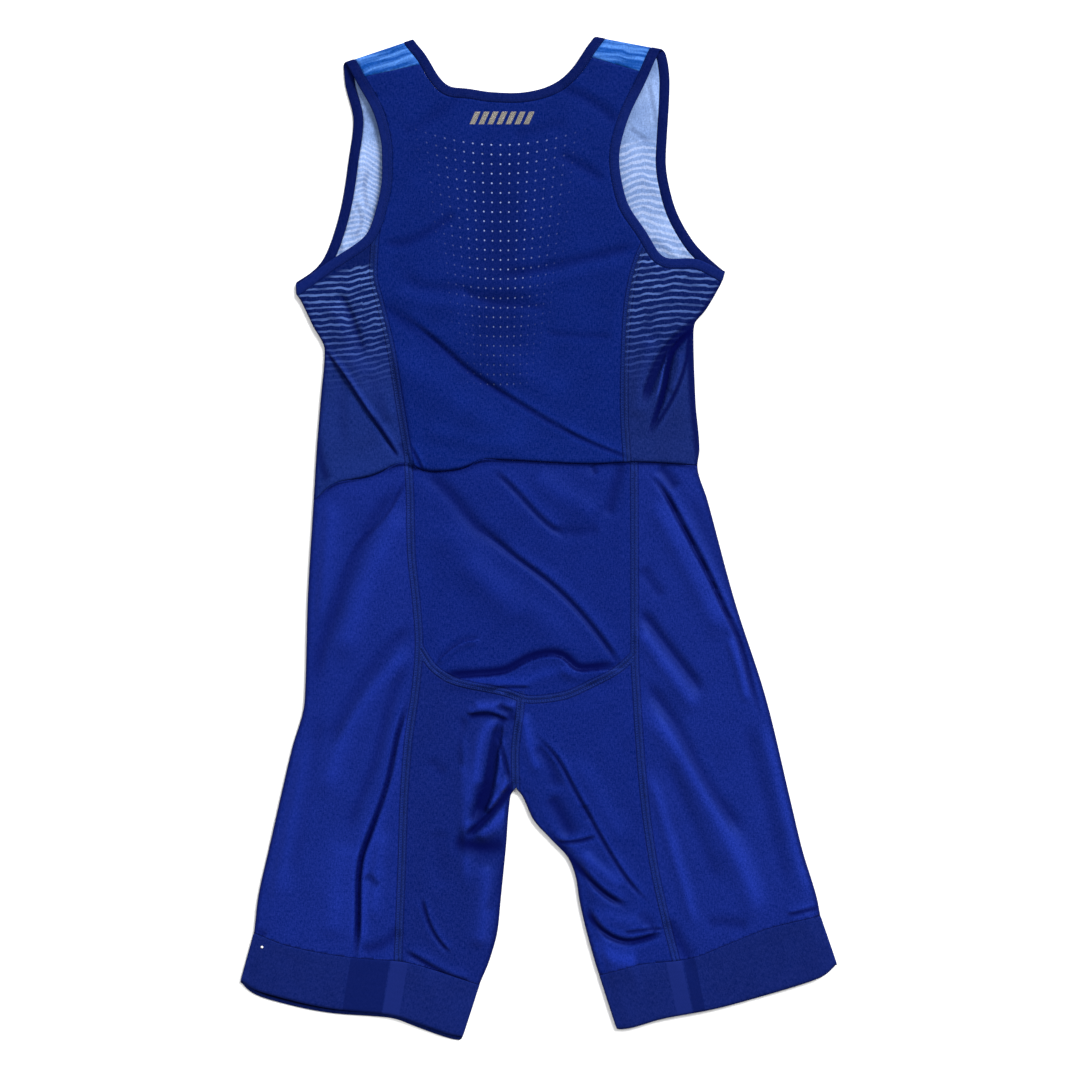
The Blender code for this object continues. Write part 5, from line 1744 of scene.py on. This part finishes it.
def silver_dashes(look, colour):
    """A row of plain slanted dashes of reflective print below the neck."""
    above = look.y - DASHES_AT[1]
    across = (look.x - DASHES_AT[0] + above * -DASH_LEAN) / DASH_PITCH
    nearest = across.nearest()
    dash = 1 - abs(across - nearest).ramp(0.27, 0.33)
    row = 1 - abs(above).ramp(DASH_HALF, DASH_HALF + 0.6)
    few = abs(nearest) < DASHES_BESIDE + 0.5
    mark = dash * row * few
    beads = look.noise(look.cut, 2.2, 2.0, 0.8)
    silver = look.mix(beads.ramp(0.35, 0.7), SILVER_DARK, SILVER_LIGHT)
    return look.mix(mark, colour, silver), mark, mark * beads


def stripes(phase, thickness, pitch):
    """Thin lines at whole phases."""
    away = abs(phase - phase.nearest()) * pitch
    return 1 - away.ramp(thickness * 0.35, thickness * 0.75)


# Stripes of the side panels, as heights on the cut: the first line, the distance between lines, where
# they end at the top and where they start to fade in at the bottom, and the panel's own navy
Stripes = namedtuple("Stripes", "first pitch top low navy")
SIDE_STRIPES = {
    LEFT: Stripes(275.0, 6.1, 270.0, 132.0, NAVY_LEFT_SIDE),
    RIGHT: Stripes(282.0, 6.7, 284.0, 138.0, NAVY_RIGHT_SIDE),
}
STRIPE_THICK = 1.9
STRIPE_WAVER = 5.5
STRIPES_SHOW = 0.66


def side_print(name, side):
    """Navy knit whose upper part has thin pale lines across it, fading out downwards."""
    look = Knit(name, PRINT_ROUGH, KNIT_DEPTH)
    first, pitch, top, low, navy = SIDE_STRIPES[side]
    waver = (look.noise(look.cut, 0.07, 3.0) - 0.5) * STRIPE_WAVER
    if side == LEFT:
        rise = (look.x + 190.0).most(0.0) * 0.24 - (-205.0 - look.x).most(0.0) * 0.05
        bound = look.y - (look.x + 187.0).least(0.0) * 0.5 - top
    else:
        rise = (look.x - 137.0).least(0.0) * 0.14 - (look.x - 137.0).most(0.0) * 0.06
        bound = look.y - top
    fade = look.y.ramp(low, low + 60.0) * (1 - bound.ramp(0.0, 6.0))
    if side == RIGHT:
        above_fold = look.y - 183.0 - (look.x - 124.0).most(0.0) * 1.17 - (look.x - 124.0).least(0.0) * 2.3
        fade = fade * above_fold.ramp(-4.0, 5.0, 0.06, 1.0)
    weak = look.noise(look.vector(look.x * 0.3, look.y), 0.16, 2.0).ramp(0.3, 0.62, 0.35, 1.0)
    phase = (look.y - first - rise + waver) / pitch
    line = stripes(phase, STRIPE_THICK, pitch) * fade * weak
    tint = look.mix(look.y.ramp(low + 20.0, top - 10.0), STRIPE_LOW, STRIPE_TOP)
    ground = look.mix(look.y.ramp(low + 15.0, low + 70.0), navy, NAVY_SIDE_TOP)
    colour, height = look.seam(look.grain_and_painted_shade(ground))
    colour = look.mix(line * STRIPES_SHOW * (1 - look.painted_shade.most(0.0)), colour, tint)
    return look.knitted(colour, height)


# Slope of the streaks on the left strap, and how much less it is on the right one
STREAK_SLOPE = 0.336
SLOPE_CHANGE = 0.524


def shoulder_print():
    """Bright blue with wavy darker streaks across the straps."""
    look = Knit("shoulder_print", PRINT_ROUGH, KNIT_DEPTH)
    slope = STREAK_SLOPE - (look.x > STRAPS_MEET) * SLOPE_CHANGE
    across = look.y - slope * look.x
    bow = look.noise(look.vector(look.x * 0.5, across * 0.2), 0.06, 2.0) * 9.0
    streak = look.noise(look.vector(look.x * 0.08, across + bow), 0.22, 3.0, 0.5)
    colour = look.mix(streak.ramp(0.46, 0.60), SHOULDER, SHOULDER_DARK)
    colour = look.mix((1 - streak.ramp(0.36, 0.48)) * 0.8, colour, SHOULDER_PALE)
    return look.knitted(look.grain_and_painted_shade(colour), look.relief())


# Lines on the wrong side of the front: height of the first one on the cut, the distance between them
# in the left armhole, how much more it is in the right one, and how strong they are
INSIDE_FIRST = 394.0
INSIDE_PITCH, INSIDE_WIDER = 5.2, 1.6
INSIDE_SHOW = 0.54


def pale_inside():
    """The wrong side of the printed front, pale with faint lines."""
    look = Knit("pale_inside", INSIDE_ROUGH, INSIDE_DEPTH)
    waver = (look.noise(look.cut, 0.05, 2.0) - 0.5) * 9.0
    right_hump = (look.x - 104.0).least(0.0) * 0.34 - (look.x - 104.0).most(0.0) * 0.22
    left_hump = (look.x + 176.0).most(0.0) * -0.55 + (look.x + 176.0).least(0.0) * 0.2
    is_right = look.x > STRAPS_MEET
    rise = right_hump * is_right + left_hump * (1 - is_right)
    pitch = INSIDE_PITCH + is_right * INSIDE_WIDER
    phase = (look.y - INSIDE_FIRST - rise + waver) / pitch
    line = stripes(phase, 0.36, 1.0) * (1 - look.y.ramp(INSIDE_FIRST - 4.0, INSIDE_FIRST + 10.0))
    colour = look.mix(look.noise(look.cut, 0.03, 3.0).ramp(0.35, 0.7), PALE_STRIPE, PALE_INSIDE)
    colour = look.mix(line * INSIDE_SHOW, colour, INSIDE_LINE)
    return look.knitted(look.grain_and_painted_shade(colour), look.relief())


def navy_inside():
    look = Knit("navy_inside", TRIM_ROUGH, INSIDE_DEPTH, shine=0.03)
    return look.knitted(look.grain_and_painted_shade(NAVY_INSIDE), look.relief(0.4))


def binding_knit():
    """Smooth folded elastic with fine ribs across it, darker on the lower layer and at the shoulders."""
    look = Knit("binding_knit", TRIM_ROUGH, TRIM_DEPTH, shine=0.03, rib=1.0, course=3.4)
    _, y, z = look.parts(look.object_place())
    on_back_layer = z.ramp(0.0026, 0.0040) * (1 - y.ramp(0.425, 0.462) * 0.8)
    navy = look.grain_and_painted_shade(look.mix(on_back_layer, NAVY_TRIM, BINDING_ON_BACK), 0.35, 1.2)
    return look.knitted(navy, look.loops + look.grain)


# A bar of the hem's elastic: its two edges in x at a height up the suit, and how it leans there
Bar = namedtuple("Bar", "start end height lean")
BAR_SOFTNESS = 0.6


def hem_elastic(name, dark_bar, light_bar):
    """Dull ribbed elastic with a darker and a lighter bar, and shadow painted nearly black inside the
    opening.
    """
    look = Knit(name, INSIDE_ROUGH, TRIM_DEPTH, shine=0.03, rib=1.6, course=7.0)
    x, y, z = look.parts(look.object_place())
    on_back_layer = z.ramp(0.0018, 0.0024)

    def inside_bar(bar):
        at = x / METRES - (y / METRES - bar.height) * bar.lean
        from_start = at.ramp(bar.start - BAR_SOFTNESS, bar.start + BAR_SOFTNESS)
        return from_start * (1 - at.ramp(bar.end - BAR_SOFTNESS, bar.end + BAR_SOFTNESS)) * on_back_layer

    colour = look.grain_and_painted_shade(NAVY_HEM, 0.35, 1.5)
    colour = look.mix(inside_bar(dark_bar) * 0.75, colour, HEM_BAR_DARK)
    colour = look.mix(inside_bar(light_bar) * 0.8, colour, HEM_BAR_LIGHT)
    # Shadow painted nearly black on the inner face inside the opening
    opening_shadow = look.edge.ramp(OUTER_FACE + 0.3, INNER_FACE - 0.2)
    colour = look.mix(opening_shadow * 0.9, colour, HEM_OPENING_SHADOW)
    return look.knitted(colour, look.loops + look.grain * 0.6)


def seam_thread(name, low, high):
    look = Look(name, 0.5, Specular_IOR_Level=0.05)
    twist = look.noise(look.object_place(), 900.0, 2.0)
    return look.finish(look.mix(twist, low, high), twist, 0.08)


def white_thread():
    look = Look("white_thread", 0.6, Specular_IOR_Level=0.2)
    twist = look.noise(look.object_place(), 1400.0, 2.0)
    return look.finish(look.mix(twist * 0.4, (0.9, 0.9, 0.9), (0.7, 0.7, 0.74)), twist, 0.05)


# Pieces

left_turn, right_turn = Around(left_edge, LEFT), Around(right_edge, RIGHT)
left_leg_turn, right_leg_turn = Around(left_inner, RIGHT), Around(right_inner, LEFT)


def knit_panels():
    under = navy_inside()
    seat = [body_knit("seat_knit", NAVY_SEAT), under]
    outer_leg = [body_knit("outer_leg_knit", NAVY_OUTER_LEG), under]
    inner_legs = {"left": [body_knit("left_inner_leg_knit", NAVY_LEFT_INNER_LEG), under],
                  "right": [body_knit("right_inner_leg_knit", NAVY_RIGHT_INNER_LEG), under]}
    panel("back_knit_panel", "back_panel", [back_mesh(), under], back_outline(), Flat(on_back),
          (left_body_seam, right_body_seam))
    for side, way, turn, seam, front_seam, back_arm, front_arm in (
            ("left", LEFT, left_turn, left_body_seam, left_front_seam, left_back_arm_inner,
             left_front_arm_inner),
            ("right", RIGHT, right_turn, right_body_seam, right_front_seam, right_back_arm_inner,
             right_front_arm_inner)):
        panel(f"{side}_side_knit", f"side_panel_{side}",
              [side_print(f"{side}_side_print", way), under],
              side_outline(turn, seam, front_seam, back_arm, front_arm), turn,
              (seam, turn.unrolled(front_seam)))
    panel("front_knit_panel", "front_panel", [shoulder_print(), pale_inside()],
          front_outline(), OverShoulders(), (left_front_seam, right_front_seam))
    panel("seat_knit", "seat_panel", seat, seat_outline(), Flat(on_back),
          (left_leg_seam, right_leg_seam, seat_seam))
    for side, turn, leg_turn, seam, top, rows in (
            ("left", left_turn, left_leg_turn, left_leg_seam, left_hem_top, LEFT_INNER),
            ("right", right_turn, right_leg_turn, right_leg_seam, right_hem_top, RIGHT_INNER)):
        panel(f"{side}_outer_leg", f"leg_outer_{side}", outer_leg,
              leg_outer_outline(turn, seam, top), turn, (seam, turn.unrolled(seam)))
        panel(f"{side}_inner_leg", f"leg_inner_{side}", inner_legs[side],
              leg_inner_outline(leg_turn, seam, top, rows), leg_turn, (seam, seat_seam, centre_seam))
        panel(f"{side}_leg_front", f"front_leg_{side}", outer_leg,
              front_leg_outline(leg_turn, seam, top, rows), Flat(on_front), (seam,))


def bands():
    """Makes the bindings and the hem bands, and gives the outer and inner line of each binding."""
    edging = binding_knit()
    left_elastic = hem_elastic("left_hem_elastic", Bar(-190.0, -150.5, -430.0, 0.16),
                               Bar(-149.0, -132.0, -430.0, 0.17))
    right_elastic = hem_elastic("right_hem_elastic", Bar(146.5, 158.5, -432.0, -0.20),
                                Bar(129.0, 144.5, -432.0, -0.22))
    neck_lines = neck_binding(edging)
    arm_lines = []
    for side, turn, fold, back, front in (
            ("left", left_turn, LEFT_FOLD, left_back_arm, left_front_arm),
            ("right", right_turn, RIGHT_FOLD, right_back_arm, right_front_arm)):
        arm_lines.append(armhole_binding(f"{side}_armhole_rib", f"armhole_binding_{side}", edging,
                                         turn, fold, back, front))
    hem_band("left_hem_band", "hem_band_left", left_elastic, left_turn, left_leg_turn, left_hem_top,
             curve(LEFT_HEM), curve(LEFT_FRONT_HEM))
    right_low = curve(RIGHT_HEM)
    hem_band("right_hem_band", "hem_band_right", right_elastic, right_turn, right_leg_turn, right_hem_top,
             right_low, beside(right_low, -FRONT_HEM_LOWER))
    return [neck_lines, *arm_lines]


def sewing(bindings):
    thread = seam_thread("seam_thread", THREAD_DARK, THREAD_LIGHT)
    paler_thread = seam_thread("top_thread", TOP_THREAD_DARK, TOP_THREAD_LIGHT)
    seams = {
        "body_seam_stitches": (past_back_edge(left_body_seam), past_back_edge(right_body_seam)),
        "leg_seam_stitches": (above_hem(left_leg_seam), above_hem(right_leg_seam)),
        "seat_seam_stitches": (between_legs(seat_seam), centre_seam[:-3]),
    }
    for name, lines in seams.items():
        beside_seams = sum((seam_rows(line) for line in lines), [])
        over_seams = sum((seam_cover(line) for line in lines), [])
        stitches(name, beside_seams, paler_thread, SEAM_THREAD)
        stitches(f"{name}_cover", over_seams, thread, COVER_THREAD)
    rows = []
    for outer, inner in bindings:
        for share in BINDING_ROWS:
            places = outer[0] * (1 - share) + inner[0] * share
            rows.append(stitch_row(places + inner[1] * BINDING_WALL / 2, inner[1]))
    stitches("binding_stitches", rows, thread, BINDING_THREAD)
    stitches("white_thread_end", [thread_end(THREAD_END)], white_thread(), WHITE_THREAD)


def thread_end(place):
    """A few short stitches across each other, where a thread is sewn off on the left hem."""
    turns = np.radians([10.0, 62.0, 118.0, 160.0])
    reach = np.column_stack([np.cos(turns), np.sin(turns)]) * THREAD_END_HALF
    starts, outs = laid_on_back(np.array(place) - reach, HEM_WALL / 2)
    ends, _ = laid_on_back(np.array(place) + reach, HEM_WALL / 2)
    return starts, ends, outs


def past_back_edge(line):
    """A body seam between the armhole and the waist."""
    arm = left_back_arm_inner if line[0, 0] < 0 else right_back_arm_inner
    start = crossing(line, arm)[0] + 2
    end = crossing(line, waist)[0] - 1
    return line[start:end]


def above_hem(line):
    """A leg seam between the waist and the hem."""
    top = left_hem_top if line[0, 0] < 0 else right_hem_top
    return line[crossing(line, waist)[0] + 3:crossing(line, top)[0] - 1]


def between_legs(line):
    start, end = crossing(line, left_leg_seam)[0] + 2, crossing(line, right_leg_seam)[0] - 1
    return line[start:end]


# The studio, in metres and degrees. The camera is so high that its frame is as wide as the photo at
# the height of the suit's upper layer. The floor is wide enough to have no edge in a view from the side.
FLOOR_SIZE = 160
FLOOR_BELOW = 0.0006
FRAME_HALF = 0.54
FRAME_HEIGHT = 0.006
SENSOR_HALF = 18
LENS = 70
SEES_AS_FAR_AS = 120
SKY_LIGHT = 0.5
# Name, where it comes from, how soft it is and how strong
SUNS = (
    ("key", (1.0, 1.25, 1.3), 26.0, 5.4),
    ("fill", (-1.2, 0.4, 1.6), 60.0, 0.8),
)


def studio():
    """Pale floor, soft light from above and the right, and the camera straight above the suit."""
    scene = bpy.context.scene
    bpy.ops.object.select_all(action="DESELECT")
    bpy.ops.mesh.primitive_plane_add(size=FLOOR_SIZE, location=(0, 0, -FLOOR_BELOW))
    floor = bpy.context.object
    floor.name = "floor"
    paper = Look("paper", 0.9)
    pale = paper.mix(paper.noise(paper.object_place(), 3.0) * 0.3, (0.93, 0.93, 0.93), (0.9, 0.9, 0.9))
    floor.data.materials.append(paper.finish(pale))
    world = bpy.data.worlds.new("studio")
    scene.world = world
    world.use_nodes = True
    sky = world.node_tree.nodes["Background"]
    sky.inputs["Color"].default_value = (1, 1, 1, 1)
    sky.inputs["Strength"].default_value = SKY_LIGHT
    for name, place, softness, power in SUNS:
        light = bpy.data.lights.new(name, "SUN")
        light.angle = math.radians(softness)
        light.energy = power
        lamp = bpy.data.objects.new(name, light)
        lamp.location = place
        lamp.rotation_euler = (-Vector(place)).to_track_quat("-Z", "Y").to_euler()
        scene.collection.objects.link(lamp)
    lens = bpy.data.cameras.new("camera")
    lens.lens = LENS
    lens.clip_end = SEES_AS_FAR_AS
    camera = bpy.data.objects.new("camera", lens)
    camera.location = (0.001, -0.001, FRAME_HALF * LENS / SENSOR_HALF + FRAME_HEIGHT)
    scene.collection.objects.link(camera)
    scene.camera = camera
    scene.view_settings.view_transform = "Standard"
    scene.view_settings.look = "None"


knit_panels()
sewing(bands())
studio()
